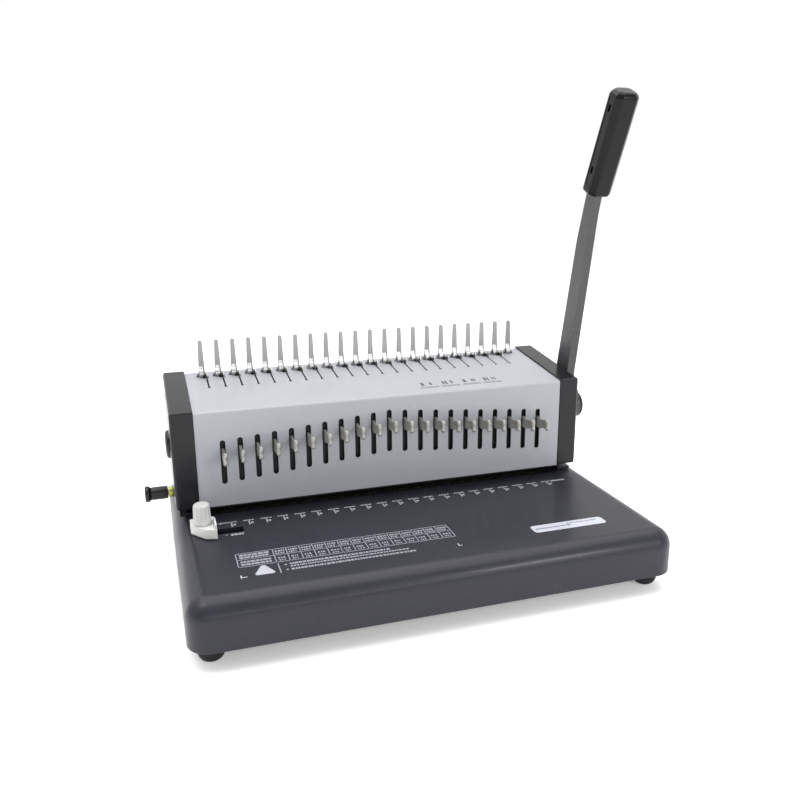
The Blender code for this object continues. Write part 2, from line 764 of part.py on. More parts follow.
def punch_carriage():
    """The punches and their bar in one, with a rack and a spring ledge at each end."""
    tab_holes = [rectangle(hole_x(hole) - 1.35, slot_top(hole) - 14.8,
                           hole_x(hole) + 1.35, slot_top(hole) - 8.7) for hole in HOLES]
    obj = plate([carriage_outline()] + tab_holes, "XZ", PUNCH_FRONT_Y, PUNCH_REAR_Y)
    pitch_y = SHAFT_Y - PITCH_RADIUS
    teeth = rack_profile([SHAFT_Z + TOOTH_PITCH * tooth for tooth in range(-2, 5)])
    rack = [(pitch_y + height, along) for along, height in teeth]
    rack += [(pitch_y - DEDENDUM, 132.8), (4.0, 132.8), (4.0, 98.4), (pitch_y - DEDENDUM, 98.4)]
    end = PINION_INNER_X + RACK_WIDTH
    ledge_low = SPRING_TOP_Z + GAP
    join(obj,
         plate([rack], "YZ", PINION_INNER_X, end),
         plate([rack], "YZ", -end, -PINION_INNER_X),
         blocks(((148.4, 5.0, ledge_low), (156.6, 14.8, ledge_low + 3.6)),
                ((-156.6, 5.0, ledge_low), (-148.4, 14.8, ledge_low + 3.6))),
         solver="MANIFOLD")
    return finish(obj, "punch_carriage", "tool_steel", "punch_carriage")


def release_tabs():
    """Thin pull tabs: an arm through the front slot, a tongue in the bar and a curled pull."""
    arm = [(11.0, -14.5), (11.0, -9.0), (3.4, -9.0), (2.2, -7.2), (-9.0, -7.4), (-14.0, -6.2),
           (-18.8, -6.0), (-18.8, -14.6), (-13.5, -14.4), (-9.0, -16.4), (2.2, -16.6),
           (3.4, -14.5)]
    pull = [(-18.3, -5.4), (-19.6, -5.4), (-20.0, -6.3), (-20.0, -13.3), (-21.3, -14.9),
            (-21.3, -16.3), (-20.3, -16.4), (-18.3, -14.2)]
    pattern = plate([arm], "YZ", -1.1, 1.1)
    pattern.parent = ROOT
    join(pattern, plate([pull], "YZ", -1.85, 1.85))
    shape = bake(pattern).data
    turn = pattern.matrix_basis.copy()
    bpy.data.objects.remove(pattern, do_unlink=True)
    for hole in HOLES:
        name = f"release_tab_{hole:02d}"
        BODY_AT[name] = (hole_x(hole), PUNCH_FRONT_Y, slot_top(hole))
        BODY[name] = make_empty(name, BODY["punch_carriage"], BODY_AT["punch_carriage"])
        tab = bpy.data.objects.new(name, shape)
        PART_COLLECTION.objects.link(tab)
        tab.matrix_world = Matrix.Translation(Vector((hole_x(hole), 0.0, slot_top(hole))) * MM) @ turn
        finish(tab, name, "nickel", name)


def return_spring(name, side):
    """An open coil between the guide block and the bar's ledge."""
    turns = 5
    per_turn = 10
    wire = 0.55
    curve = bpy.data.curves.new(name, "CURVE")
    curve.dimensions = "3D"
    curve.bevel_depth = wire * MM
    curve.bevel_resolution = 2
    curve.use_fill_caps = True
    spline = curve.splines.new("POLY")
    count = turns * per_turn
    spline.points.add(count)
    low = SPRING_BOTTOM_Z + wire
    high = SPRING_TOP_Z - wire
    for index, point in enumerate(spline.points):
        angle = 2 * math.pi * index / per_turn
        point.co = (2.6 * MM * math.cos(angle), 2.6 * MM * math.sin(angle),
                    (low + (high - low) * index / count) * MM, 1.0)
    source = bpy.data.objects.new(name, curve)
    PART_COLLECTION.objects.link(source)
    source.matrix_world = Matrix.Translation((side * SPRING_X * MM, SPRING_Y * MM, 0.0))
    return finish(welded(source), name, "spring_steel", smooth=True)


# ---------------------------------------------------------------- drive and lever

def drive_shaft():
    obj = rod(SHAFT_RADIUS, -183.9, 192.5, (SHAFT_Y, SHAFT_Z))
    return finish(obj, "drive_shaft", "tool_steel", "lever", smooth=True)


def pinion(name, side):
    low, high = sorted((side * PINION_INNER_X, side * PINION_OUTER_X))
    centre = (SHAFT_Y, SHAFT_Z)
    obj = plate([pinion_outline(centre), circle(centre, SHAFT_BORE, 32)], "YZ", low, high)
    return finish(obj, name, "tool_steel", "lever")


def shaft_bush(name, side):
    """A flanged bush: its sleeve fills the frame's bore and its flange faces the pinion."""
    flange = (FRAME_INNER_X - GAP) - (PINION_OUTER_X + GAP)
    sleeve = (FRAME_OUTER_X + 0.5) - (PINION_OUTER_X + GAP)
    bore = 6.15
    profile = [(bore, 0.0), (11.0, 0.0), (11.0, -flange), (9.0, -flange), (9.0, -sleeve),
               (bore, -sleeve)]
    obj = turned(profile, (side * (PINION_OUTER_X + GAP), SHAFT_Y, SHAFT_Z), steps=24, closed=True)
    obj.rotation_euler = (0.0, -side * math.pi / 2, 0.0)
    return finish(obj, name, "black_plastic", smooth=True)


def grip_point(along, across):
    """A point of the grip's own frame as (Y, Z); along is up the grip, across is to the rear."""
    sine = math.sin(GRIP_LEAN)
    cosine = math.cos(GRIP_LEAN)
    return (GRIP_FOOT[0] - along * sine + across * cosine,
            GRIP_FOOT[1] + along * cosine + across * sine)


def lever_arm():
    """A flat bar from the hub, bent forward twice, with a tang inside the grip."""
    hub = (SHAFT_Y, SHAFT_Z)
    front = [(24.4, 139.0), (24.2, 141.1), (-3.2, 288.2)]
    rear = [(19.6, 258.5), (44.5, 148.1), (46.0, 141.0)]
    tang = [grip_point(GRIP_LOW - 2.0, -TANG_HALF_WIDTH), grip_point(TANG_TOP, -TANG_HALF_WIDTH),
            grip_point(TANG_TOP, TANG_HALF_WIDTH), grip_point(GRIP_LOW - 2.0, TANG_HALF_WIDTH)]
    outline = arc(hub, HUB_RADIUS, -20.7, -213.3, 11) + front + tang + rear
    obj = plate([outline], "YZ", LEVER_INNER_X, LEVER_OUTER_X)
    face = (LEVER_OUTER_X - LEVER_INNER_X) / 2
    bevel_where(obj, lambda u, v, w: abs(abs(w) - face) < 0.01, 1.2, 2)
    bore = plate([circle(hub, SHAFT_BORE, 32)], "YZ", LEVER_INNER_X - 5, LEVER_OUTER_X + 5)
    cut(obj, bore, solver="MANIFOLD")
    return finish(obj, "lever_arm", "lever_paint", "lever", smooth=True)


def grip_prism(low, high, half_depth, x_low, x_high):
    """A straight-sided block in the grip's own direction."""
    outline = [grip_point(low, -half_depth), grip_point(low, half_depth),
               grip_point(high, half_depth), grip_point(high, -half_depth)]
    return plate([outline], "YZ", x_low, x_high)


def lever_grip():
    """An eight-sided grip with a rounded top, a pocket for the tang and a channel inside."""
    half = GRIP_SIZE / 2
    middle_x = (LEVER_INNER_X + LEVER_OUTER_X) / 2 + 0.1
    mesh = bmesh.new()
    length = (GRIP_HIGH - GRIP_LOW) * MM
    size = Matrix.Diagonal((GRIP_SIZE * MM, GRIP_SIZE * MM, length, 1.0))
    bmesh.ops.create_cube(mesh, size=1.0, matrix=size)
    upright = [edge for edge in mesh.edges
               if abs(edge.verts[0].co.z - edge.verts[1].co.z) > length / 2]
    bmesh.ops.bevel(mesh, geom=upright, offset=4.5 * MM, segments=2, profile=0.5, affect="EDGES")
    top = [edge for edge in mesh.edges if min(vert.co.z for vert in edge.verts) > length * 0.49]
    bmesh.ops.bevel(mesh, geom=top, offset=4.0 * MM, segments=3, profile=0.5, affect="EDGES")
    obj = mesh_object(mesh)
    centre = grip_point((GRIP_LOW + GRIP_HIGH) / 2, 0.0)
    obj.location = Vector((middle_x, *centre)) * MM
    obj.rotation_euler = (GRIP_LEAN, 0.0, 0.0)
    pocket = grip_prism(GRIP_LOW - 5.0, TANG_TOP + 0.5, TANG_HALF_WIDTH + GAP,
                        LEVER_INNER_X - GAP, LEVER_OUTER_X + GAP)
    channel = grip_prism(4.0, 77.0, 3.4, middle_x - half - 5.0, middle_x - half + 1.2)
    cut(obj, pocket, channel)
    return finish(obj, "lever_grip", "grip_plastic", "lever", smooth=True)


def shaft_cap(name, x, thickness, radius, side):
    """A rounded cap over a shaft end; its flat side faces the machine."""
    profile = [(0.0, thickness), (radius * 0.72, thickness), (radius * 0.93, thickness * 0.72),
               (radius, thickness * 0.35), (radius, 0.0), (0.0, 0.0)]
    obj = turned(profile, (x, SHAFT_Y, SHAFT_Z))
    obj.rotation_euler = (0.0, side * math.pi / 2, 0.0)
    return finish(obj, name, "black_plastic", "lever", smooth=True)


# ---------------------------------------------------------------- margin stop

def margin_shaft():
    """A thin rod with an eccentric bar between the frames; turning it moves the paper stop."""
    eccentric = 3.0
    obj = rod(3.0, -203.0, 173.0, (MARGIN_Y, MARGIN_Z), sides=16)
    join(obj, rod(9.4, -164.0, 164.0, (MARGIN_Y, MARGIN_Z - eccentric), sides=24))
    return finish(obj, "margin_shaft", "tool_steel", "margin_stop", smooth=True)


def margin_collar():
    profile = [(3.3, 0.0), (5.6, 0.0), (5.9, -0.7), (5.9, -3.5), (5.6, -4.2), (3.3, -4.2)]
    obj = turned(profile, (-188.3, MARGIN_Y, MARGIN_Z), steps=18, closed=True)
    obj.rotation_euler = (0.0, -math.pi / 2, 0.0)
    return finish(obj, "margin_collar", "zinc", "margin_stop", smooth=True)


def margin_knob():
    """A narrow knob with a flared end, bored for the rod."""
    length = -188.6 - KNOB_END_X
    profile = [(0.0, length), (5.9, length), (6.9, length - 0.9), (6.9, length - 3.2),
               (5.3, length - 4.4), (5.0, length / 2), (5.3, 0.8), (4.8, 0.0), (3.3, 0.0),
               (3.3, 14.9), (0.0, 14.9)]
    obj = turned(profile, (-188.6, MARGIN_Y, MARGIN_Z), steps=20)
    obj.rotation_euler = (0.0, -math.pi / 2, 0.0)
    return finish(obj, "margin_knob", "black_plastic", "margin_stop", smooth=True)


# ---------------------------------------------------------------- side guide

def side_guide():
    """The block that squares the paper's edge: a chamfered body, a fin and a tongue below."""
    outline = [(-174.5, -22.0), (-174.5, -32.6), (-164.5, -46.5), (-156.4, -48.8),
               (-155.2, -48.6), (-155.2, -22.0)]
    obj = plate([outline], "XY", DECK_Z + GAP, 60.3)
    fin = [(-48.4, 58.0), (-30.0, 58.0), (-30.0, 61.5), (-34.0, 64.2), (-46.5, 64.6),
           (-48.4, 63.4)]
    join(obj, plate([fin], "YZ", -156.9, -155.4),
         blocks(((-170.0, -38.3, DECK_Z - BASE_WALL - 0.1), (-160.0, -29.7, 55.0))))
    cut(obj, plate([circle((GUIDE_X, GUIDE_Y), 2.4, 16)], "XY", 40.0, 70.0))
    return finish(obj, "side_guide", "white_plastic", "side_guide")


def side_guide_nut():
    outline = rectangle(-171.2, -40.0, -159.4, -28.0)
    bore = circle((GUIDE_X, GUIDE_Y), 2.4, 16)
    obj = plate([outline, bore], "XY", 45.0, DECK_Z - BASE_WALL - 0.4)
    return finish(obj, "side_guide_nut", "zinc", "side_guide")


def side_guide_knob():
    """A tapered knob on its clamping screw."""
    obj = rod(7.1, 60.7, 77.0, (GUIDE_X, GUIDE_Y), "Z", sides=24, top_radius=6.5)
    bevel(obj, 1.0, 2, angle=60)
    join(obj, rod(2.0, 43.0, 62.0, (GUIDE_X, GUIDE_Y), "Z", sides=16))
    return finish(obj, "side_guide_knob", "white_plastic", "side_guide_knob", smooth=True)


# ---------------------------------------------------------------- chip tray

def chip_tray():
    """A drawer for the punched chips, with a rear panel that closes the base's mouth."""
    wall = 2.0
    obj = blocks(((-TRAY_HALF_WIDTH, TRAY_FRONT_Y, TRAY_BOTTOM_Z),
                  (TRAY_HALF_WIDTH, TRAY_REAR_Y - 1.0, TRAY_TOP_Z)))
    join(obj, blocks(((-151.5, BASE_REAR + GAP, 15.2), (151.5, TRAY_REAR_Y, 36.0))))
    cut(obj,
        blocks(((-TRAY_HALF_WIDTH + wall, TRAY_FRONT_Y + wall, TRAY_BOTTOM_Z + wall),
                (TRAY_HALF_WIDTH - wall, TRAY_BACK_Y - wall, TRAY_TOP_Z + 10))),
        blocks(((-24.0, TRAY_REAR_Y - 1.4, 10.0), (24.0, TRAY_REAR_Y + 5, 23.0))))
    return finish(obj, "chip_tray", "side_plastic", "chip_tray")


# ---------------------------------------------------------------- the whole machine

def build():
    base_shell()
    base_plate()
    feet()
    die_block()
    punch_guide()
    for suffix, side in (("left", -1), ("right", 1)):
        side_frame(f"side_frame_{suffix}", side)
        side_cover(f"side_cover_{suffix}", side)
        pinion(f"pinion_{suffix}", side)
        shaft_bush(f"shaft_bush_{suffix}", side)
        return_spring(f"return_spring_{suffix}", side)
    frame_bolts()
    top_cover()
    rear_cover()
    finger_comb()
    hook_plate()
    punch_carriage()
    release_tabs()
    drive_shaft()
    lever_arm()
    lever_grip()
    shaft_cap("lever_hub_cap", LEVER_OUTER_X + GAP, 3.4, HUB_RADIUS, 1)
    shaft_cap("shaft_cap_left", -184.1, 3.4, 11.8, -1)
    margin_shaft()
    margin_collar()
    margin_knob()
    side_guide()
    side_guide_nut()
    side_guide_knob()
    chip_tray()


build()
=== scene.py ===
"""Looks for the comb binding machine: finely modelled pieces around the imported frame.

Shapes are in millimetres in the machine's own frame: X to the right along the punches, zero at
the middle punch; Y from the silver front to the rear; Z up from the table. ORIGIN carries them
to the frame's metres.
"""
import math
import random

import bmesh
import bpy
from mathutils import Matrix, Vector


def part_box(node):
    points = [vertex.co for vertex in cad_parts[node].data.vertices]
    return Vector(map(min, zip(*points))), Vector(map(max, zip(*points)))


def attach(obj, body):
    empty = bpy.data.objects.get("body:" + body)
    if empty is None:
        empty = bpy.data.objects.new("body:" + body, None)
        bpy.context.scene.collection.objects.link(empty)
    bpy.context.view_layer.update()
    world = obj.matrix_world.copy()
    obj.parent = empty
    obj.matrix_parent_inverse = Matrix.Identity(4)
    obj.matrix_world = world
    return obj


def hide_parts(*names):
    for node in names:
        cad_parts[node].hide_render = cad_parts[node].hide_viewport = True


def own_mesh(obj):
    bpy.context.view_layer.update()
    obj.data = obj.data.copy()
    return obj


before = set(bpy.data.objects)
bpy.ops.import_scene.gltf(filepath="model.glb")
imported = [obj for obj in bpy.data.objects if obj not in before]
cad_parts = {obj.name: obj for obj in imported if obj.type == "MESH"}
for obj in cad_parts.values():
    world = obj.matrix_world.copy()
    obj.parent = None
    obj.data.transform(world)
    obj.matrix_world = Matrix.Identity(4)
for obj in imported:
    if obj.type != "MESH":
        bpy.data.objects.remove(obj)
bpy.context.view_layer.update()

MM = 0.001
cover_low, cover_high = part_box("top_cover")
ORIGIN = Vector(((cover_low.x + cover_high.x) / 2, cover_low.y, 0.0))


def machine_box(node):
    """A node's low and high corners in the machine's frame, in millimetres."""
    low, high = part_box(node)
    return (low - ORIGIN) / MM, (high - ORIGIN) / MM


# ------------------------ sizes taken from the frame

BASE_LOW, BASE_HIGH = machine_box("base_shell")
COVER_LOW, COVER_HIGH = machine_box("top_cover")
FINGERS_LOW, FINGERS_HIGH = machine_box("finger_comb")
ARM_LOW, ARM_HIGH = machine_box("lever_arm")
HUB_LOW, HUB_HIGH = machine_box("lever_hub_cap")
KNOB_LOW, KNOB_HIGH = machine_box("margin_knob")
COLLAR_LOW, COLLAR_HIGH = machine_box("margin_collar")
GUIDE_LOW, GUIDE_HIGH = machine_box("side_guide")
GUIDE_KNOB_LOW, GUIDE_KNOB_HIGH = machine_box("side_guide_knob")
TRAY_LOW, TRAY_HIGH = machine_box("chip_tray")

DECK_Z = BASE_HIGH.z
HOLE_COUNT = 21
TABS = [machine_box(f"release_tab_{hole:02d}") for hole in range(1, HOLE_COUNT + 1)]
TAB_X = [(low.x + high.x) / 2 for low, high in TABS]
PITCH = (TAB_X[-1] - TAB_X[0]) / (HOLE_COUNT - 1)
# Each front slot reaches this far above its tab.
TAB_TO_SLOT_TOP = 5.4
SLOT_TOPS = [high.z + TAB_TO_SLOT_TOP for low, high in TABS]
SHAFT_Y = (HUB_LOW.y + HUB_HIGH.y) / 2
SHAFT_Z = (HUB_LOW.z + HUB_HIGH.z) / 2
HUB_RADIUS = (HUB_HIGH.z - HUB_LOW.z) / 2
MARGIN_Y = (COLLAR_LOW.y + COLLAR_HIGH.y) / 2
MARGIN_Z = (COLLAR_LOW.z + COLLAR_HIGH.z) / 2
ROOF_SLOPE = 0.126
FRONT_TOP_Z = COVER_HIGH.z - ROOF_SLOPE * COVER_HIGH.y
SHEET = 1.2
WALL = 2.5
# The hooks stand this far to the side of the tabs.
HOOK_SHIFT = -3.5
# Edges sharper than this stay sharp in the shading.
SHARP = math.radians(40)

random.seed(21)


def roof_z(y):
    return FRONT_TOP_Z + ROOF_SLOPE * y


def hole_x(hole):
    return TAB_X[0] + (hole - 1) * PITCH


# ------------------------ materials

# Noise features per metre: slow changes of tone and gloss, and scuffed patches.
SLOW_SCALE = 28.0
PATCH_SCALE = SLOW_SCALE * 7
BUMP_HEIGHT = 0.00025


def add_node(tree, kind, x, y, **values):
    node = tree.nodes.new(kind)
    node.location = (x, y)
    for key, value in values.items():
        setattr(node, key, value)
    return node


def set_inputs(node, values):
    for name, value in values.items():
        node.inputs[name].default_value = value


def noise(tree, coordinates, scale, detail, x, y, stretch=(1.0, 1.0, 1.0)):
    """A noise texture in object space; scale counts features per metre."""
    mapping = add_node(tree, "ShaderNodeMapping", x - 200, y)
    set_inputs(mapping, {"Scale": stretch})
    tree.links.new(coordinates, mapping.inputs["Vector"])
    texture = add_node(tree, "ShaderNodeTexNoise", x, y)
    set_inputs(texture, {"Scale": scale, "Detail": detail, "Roughness": 0.6})
    tree.links.new(mapping.outputs["Vector"], texture.inputs["Vector"])
    return texture.outputs["Fac"]


def remap(tree, value, low, high, x, y, from_low=0.3, from_high=0.7):
    node = add_node(tree, "ShaderNodeMapRange", x, y)
    set_inputs(node, {"From Min": from_low, "From Max": from_high, "To Min": low, "To Max": high})
    tree.links.new(value, node.inputs["Value"])
    return node.outputs["Result"]


def mix_colour(tree, factor, first, second, x, y):
    node = add_node(tree, "ShaderNodeMix", x, y, data_type="RGBA")
    tree.links.new(factor, node.inputs["Factor"])
    for socket, colour in ((node.inputs[6], first), (node.inputs[7], second)):
        if isinstance(colour, tuple):
            socket.default_value = (*colour, 1.0)
        else:
            tree.links.new(colour, socket)
    return node.outputs[2]


def scaled(colour, factor):
    return tuple(min(1.0, channel * factor) for channel in colour)


def surface(name, colour, roughness, metallic=0.0, grain=1800.0, depth=0.06, tone=0.06,
            rough_spread=0.08, brushed=(1.0, 1.0, 1.0), wear=None, coat=0.0, specular=0.5):
    """A finish with fine grain, slow changes of tone and gloss, and worn spots if given."""
    material = bpy.data.materials.new(name)
    material.use_nodes = True
    tree = material.node_tree
    shader = tree.nodes["Principled BSDF"]
    shader.location = (700, 0)
    set_inputs(shader, {"Metallic": metallic, "Coat Weight": coat, "Coat Roughness": 0.12,
                        "Specular IOR Level": specular})
    coordinates = add_node(tree, "ShaderNodeTexCoord", -900, 0).outputs["Object"]
    fine = noise(tree, coordinates, grain, 3.0, -500, -300, brushed)
    slow = noise(tree, coordinates, SLOW_SCALE, 2.0, -500, 0)
    dark, light, lifted = (scaled(colour, 1 + tone * part) for part in (-1, 1, 2.2))
    base = mix_colour(tree, remap(tree, slow, 0.0, 1.0, -250, 0), dark, light, 0, 0)
    speck = remap(tree, fine, 0.0, 1.0, -250, -300)
    base = mix_colour(tree, remap(tree, fine, 0.0, 0.5, -250, -150), base, lifted, 200, 0)
    if wear:
        worn_colour, amount = wear
        patches = noise(tree, coordinates, PATCH_SCALE, 2.0, -500, 300)
        scuffs = remap(tree, patches, 0.0, amount, -250, 300, 0.58, 0.80)
        base = mix_colour(tree, scuffs, base, worn_colour, 400, 100)
    tree.links.new(base, shader.inputs["Base Color"])
    gloss = remap(tree, slow, roughness - rough_spread, roughness + rough_spread, 200, -300)
    tree.links.new(gloss, shader.inputs["Roughness"])
    bump = add_node(tree, "ShaderNodeBump", 450, -400)
    set_inputs(bump, {"Strength": depth, "Distance": BUMP_HEIGHT})
    tree.links.new(speck, bump.inputs["Height"])
    tree.links.new(bump.outputs["Normal"], shader.inputs["Normal"])
    return material


def ink(name, colour, tone, depth=0.10):
    return surface(name, colour, 0.50, grain=2400, depth=depth, tone=tone)


MATERIAL = {
    "deck": surface("deck_powder_coat", (0.0155, 0.0162, 0.0235), 0.38, grain=1500, depth=0.08,
                    tone=0.10, rough_spread=0.03, wear=((0.05, 0.05, 0.06), 0.2), specular=0.32,
                    coat=0.10),
    "silver": surface("silver_satin_paint", (0.37, 0.383, 0.408), 0.36, 0.10, grain=2600,
                      depth=0.04, tone=0.025, rough_spread=0.03, wear=((0.60, 0.61, 0.63), 0.15),
                      specular=0.32),
    "side": surface("end_cover_plastic", (0.0050, 0.0053, 0.0070), 0.22, grain=2200, depth=0.10,
                    tone=0.10, rough_spread=0.03, wear=((0.03, 0.03, 0.035), 0.2), specular=0.33),
    "lever": surface("lever_satin_paint", (0.045, 0.045, 0.048), 0.30, grain=1500, depth=0.05,
                     tone=0.10, rough_spread=0.04, wear=((0.10, 0.10, 0.11), 0.2)),
    "grip": surface("grip_moulded_plastic", (0.0030, 0.0030, 0.0042), 0.25, grain=1700, depth=0.06,
                    tone=0.15, rough_spread=0.04, specular=0.24),
    "rubber": surface("foot_rubber_matt", (0.008, 0.008, 0.009), 0.62, grain=1400, depth=0.25,
                      tone=0.15, specular=0.3),
    "steel": surface("ground_steel", (0.36, 0.36, 0.365), 0.36, 1.0, grain=700, depth=0.05,
                     tone=0.06, brushed=(1.0, 14.0, 14.0)),
    # Near-black steel for the die block, punch guide and punch carriage: painted shade, so that the
    # slots look dark inside.
    "slot_shade_steel": surface("steel_darkened_for_slot_shade", (0.016, 0.016, 0.016), 0.42, 0.3, grain=900,
                          depth=0.06, tone=0.12, brushed=(1.0, 14.0, 14.0), specular=0.3),
    "finger": surface("finger_satin_steel", (0.29, 0.29, 0.29), 0.34, 0.8, grain=900,
                      depth=0.05, tone=0.07, brushed=(14.0, 14.0, 1.0)),
    "nickel": surface("nickel_plate", (0.27, 0.265, 0.25), 0.33, 1.0, grain=1300, depth=0.06,
                      tone=0.12, rough_spread=0.06),
    "tab": surface("tab_satin_nickel", (0.34, 0.333, 0.312), 0.36, 0.6, grain=1300, depth=0.06,
                   tone=0.12, rough_spread=0.06),
    "hook": surface("bright_hook_steel_and_foot_highlight", (0.50, 0.50, 0.50), 0.30, 1.0, grain=1300, depth=0.06,
                    tone=0.10, rough_spread=0.06),
    "zinc": surface("yellow_zinc_plate", (0.40, 0.42, 0.12), 0.30, 0.9, grain=1200, depth=0.05,
                    tone=0.12),
    "black": surface("black_moulded_plastic", (0.007, 0.007, 0.008), 0.30, grain=1600,
                     depth=0.08, tone=0.15, specular=0.4),
    "white": surface("ivory_moulded_plastic", (0.66, 0.655, 0.64), 0.40, grain=1700, depth=0.08,
                     tone=0.03, specular=0.4),
    # A darker copy of the ivory plastic for the guide knob: painted shade for its flutes and its
    # side facing the camera.
    "knob": surface("ivory_plastic_darkened_as_knob_shade", (0.52, 0.515, 0.51), 0.38, grain=1700, depth=0.08,
                    tone=0.03, specular=0.4),
    "ink": ink("pale_screen_ink", (0.36, 0.375, 0.41), 0.12),
    "thin_ink": ink("grey_table_ink", (0.25, 0.263, 0.295), 0.14),
    "fill_ink": ink("grey_screen_ink", (0.12, 0.125, 0.145), 0.15),
    "dark_ink": ink("dark_screen_ink", (0.06, 0.062, 0.07), 0.15, 0.08),
    "label": surface("label_foil", (0.52, 0.54, 0.61), 0.30, 0.1, depth=0.04, tone=0.04),
    "spring": surface("drawn_spring_wire", (0.33, 0.33, 0.34), 0.30, 1.0, grain=1500, depth=0.05,
                      tone=0.08),
}


# ------------------------ making and placing pieces

def add_object(name, data):
    obj = bpy.data.objects.new(name, data)
    bpy.context.scene.collection.objects.link(obj)
    return obj


def from_bmesh(mesh, name="shape"):
    """Make an object at the machine's origin from a bmesh and free the bmesh."""
    data = bpy.data.meshes.new(name)
    mesh.to_mesh(data)
    mesh.free()
    obj = add_object(name, data)
    obj.location = ORIGIN
    return obj


def evaluated_mesh(obj):
    bpy.context.view_layer.update()
    graph = bpy.context.evaluated_depsgraph_get()
    return bpy.data.meshes.new_from_object(obj.evaluated_get(graph))


def apply_all(obj):
    """Put the modifiers' result in the mesh and remove the Boolean tools."""
    data = evaluated_mesh(obj)
    tools = [modifier.object for modifier in obj.modifiers if modifier.type == "BOOLEAN"]
    obj.modifiers.clear()
    obj.data = data
    for tool in tools:
        bpy.data.objects.remove(tool, do_unlink=True)
    return obj


def combine(obj, tools, operation):
    """Apply a Boolean with each tool in turn and remove the tools."""
    for tool in tools:
        modifier = obj.modifiers.new("boolean", "BOOLEAN")
        modifier.operation = operation
        modifier.solver = "MANIFOLD"
        modifier.object = tool
    return apply_all(obj)


def cut(obj, *tools):
    return combine(obj, tools, "DIFFERENCE")


def unite(obj, *tools):
    return combine(obj, tools, "UNION")


def soften(obj, width, segments=2, angle=40):
    """Round the sharp edges a little, as pressing, moulding or painting leaves them."""
    modifier = obj.modifiers.new("edges", "BEVEL")
    modifier.width = width * MM
    modifier.segments = segments
    modifier.limit_method = "ANGLE"
    modifier.angle_limit = math.radians(angle)
    return apply_all(obj)


def place(obj, name, material, body, replaces=()):
    """Name and finish a piece, shade it smooth between sharp edges and hang it on its body."""
    obj.name = name
    obj.data.name = name
    obj.data.materials.clear()
    obj.data.materials.append(MATERIAL[material])
    obj.data.shade_smooth()
    obj.data.set_sharp_from_angle(angle=SHARP)
    weighted = obj.modifiers.new("normals", "WEIGHTED_NORMAL")
    weighted.keep_sharp = True
    apply_all(obj)
    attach(obj, body)
    if replaces:
        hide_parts(*replaces)


# ------------------------ outlines

def arc(centre, radius, start, end, steps):
    """Points from one angle to another, in degrees, both ends included."""
    points = []
    for step in range(steps + 1):
        angle = math.radians(start + (end - start) * step / steps)
        points.append((centre[0] + radius * math.cos(angle), centre[1] + radius * math.sin(angle)))
    return points


def circle(centre, radius, sides):
    return arc(centre, radius, 0, 360, sides)[:-1]


def rectangle(u_low, v_low, u_high, v_high):
    return [(u_low, v_low), (u_high, v_low), (u_high, v_high), (u_low, v_high)]


def round_rectangle(u_low, v_low, u_high, v_high, radius, steps):
    """A rectangle with round corners, from its upper right corner anticlockwise."""
    centres = rectangle(u_high - radius, v_high - radius, u_low + radius, v_low + radius)
    points = []
    for index, centre in enumerate(centres):
        points += arc(centre, radius, 90 * index, 90 * index + 90, steps)
    return points


# ------------------------ shapes

PLANES = {
    "XY": Matrix(((1, 0, 0), (0, 1, 0), (0, 0, 1))),
    "XZ": Matrix(((1, 0, 0), (0, 0, -1), (0, 1, 0))),
    "YZ": Matrix(((0, 0, 1), (1, 0, 0), (0, 1, 0))),
}
NORMALS = {"XY": Vector((0, 0, 1)), "XZ": Vector((0, 1, 0)), "YZ": Vector((1, 0, 0))}
UPWARDS = Matrix.Identity(3)
RIGHTWARDS = Matrix.Rotation(math.pi / 2, 3, "Y")
LEFTWARDS = Matrix.Rotation(-math.pi / 2, 3, "Y")
REARWARDS = Matrix.Rotation(-math.pi / 2, 3, "X")


def placing(centre, turn):
    """The matrix that turns a shape and moves it to a point in millimetres."""
    return Matrix.Translation(Vector(centre) * MM) @ turn.to_4x4()


def curve_mesh(curve):
    """The mesh of a curve's solid."""
    source = add_object("curve", curve)
    data = evaluated_mesh(source)
    bpy.data.objects.remove(source, do_unlink=True)
    return data


def plate(loops, plane, low, high):
    """A flat outline with holes, as thick as low to high along the plane's normal."""
    curve = bpy.data.curves.new("outline", "CURVE")
    curve.dimensions = "2D"
    curve.fill_mode = "BOTH"
    curve.extrude = (high - low) / 2 * MM
    for loop in loops:
        spline = curve.splines.new("POLY")
        spline.points.add(len(loop) - 1)
        for point, (u, v) in zip(spline.points, loop):
            point.co = (u * MM, v * MM, 0.0, 1.0)
        spline.use_cyclic_u = True
    mesh = bmesh.new()
    mesh.from_mesh(curve_mesh(curve))
    bmesh.ops.remove_doubles(mesh, verts=mesh.verts, dist=0.00001)
    centre = NORMALS[plane] * ((low + high) / 2 * MM)
    mesh.transform(Matrix.Translation(centre) @ PLANES[plane].to_4x4())
    bmesh.ops.dissolve_limit(mesh, angle_limit=math.radians(0.5), verts=mesh.verts,
                             edges=mesh.edges)
    bmesh.ops.recalc_face_normals(mesh, faces=mesh.faces)
    return from_bmesh(mesh)


def blocks(*corners):
    """One mesh of separate boxes, each given by its low and high corner."""
    mesh = bmesh.new()
    for low, high in corners:
        low = Vector(low) * MM
        high = Vector(high) * MM
        matrix = Matrix.Translation((low + high) / 2) @ Matrix.Diagonal((*(high - low), 1.0))
        bmesh.ops.create_cube(mesh, size=1.0, matrix=matrix)
    return from_bmesh(mesh)


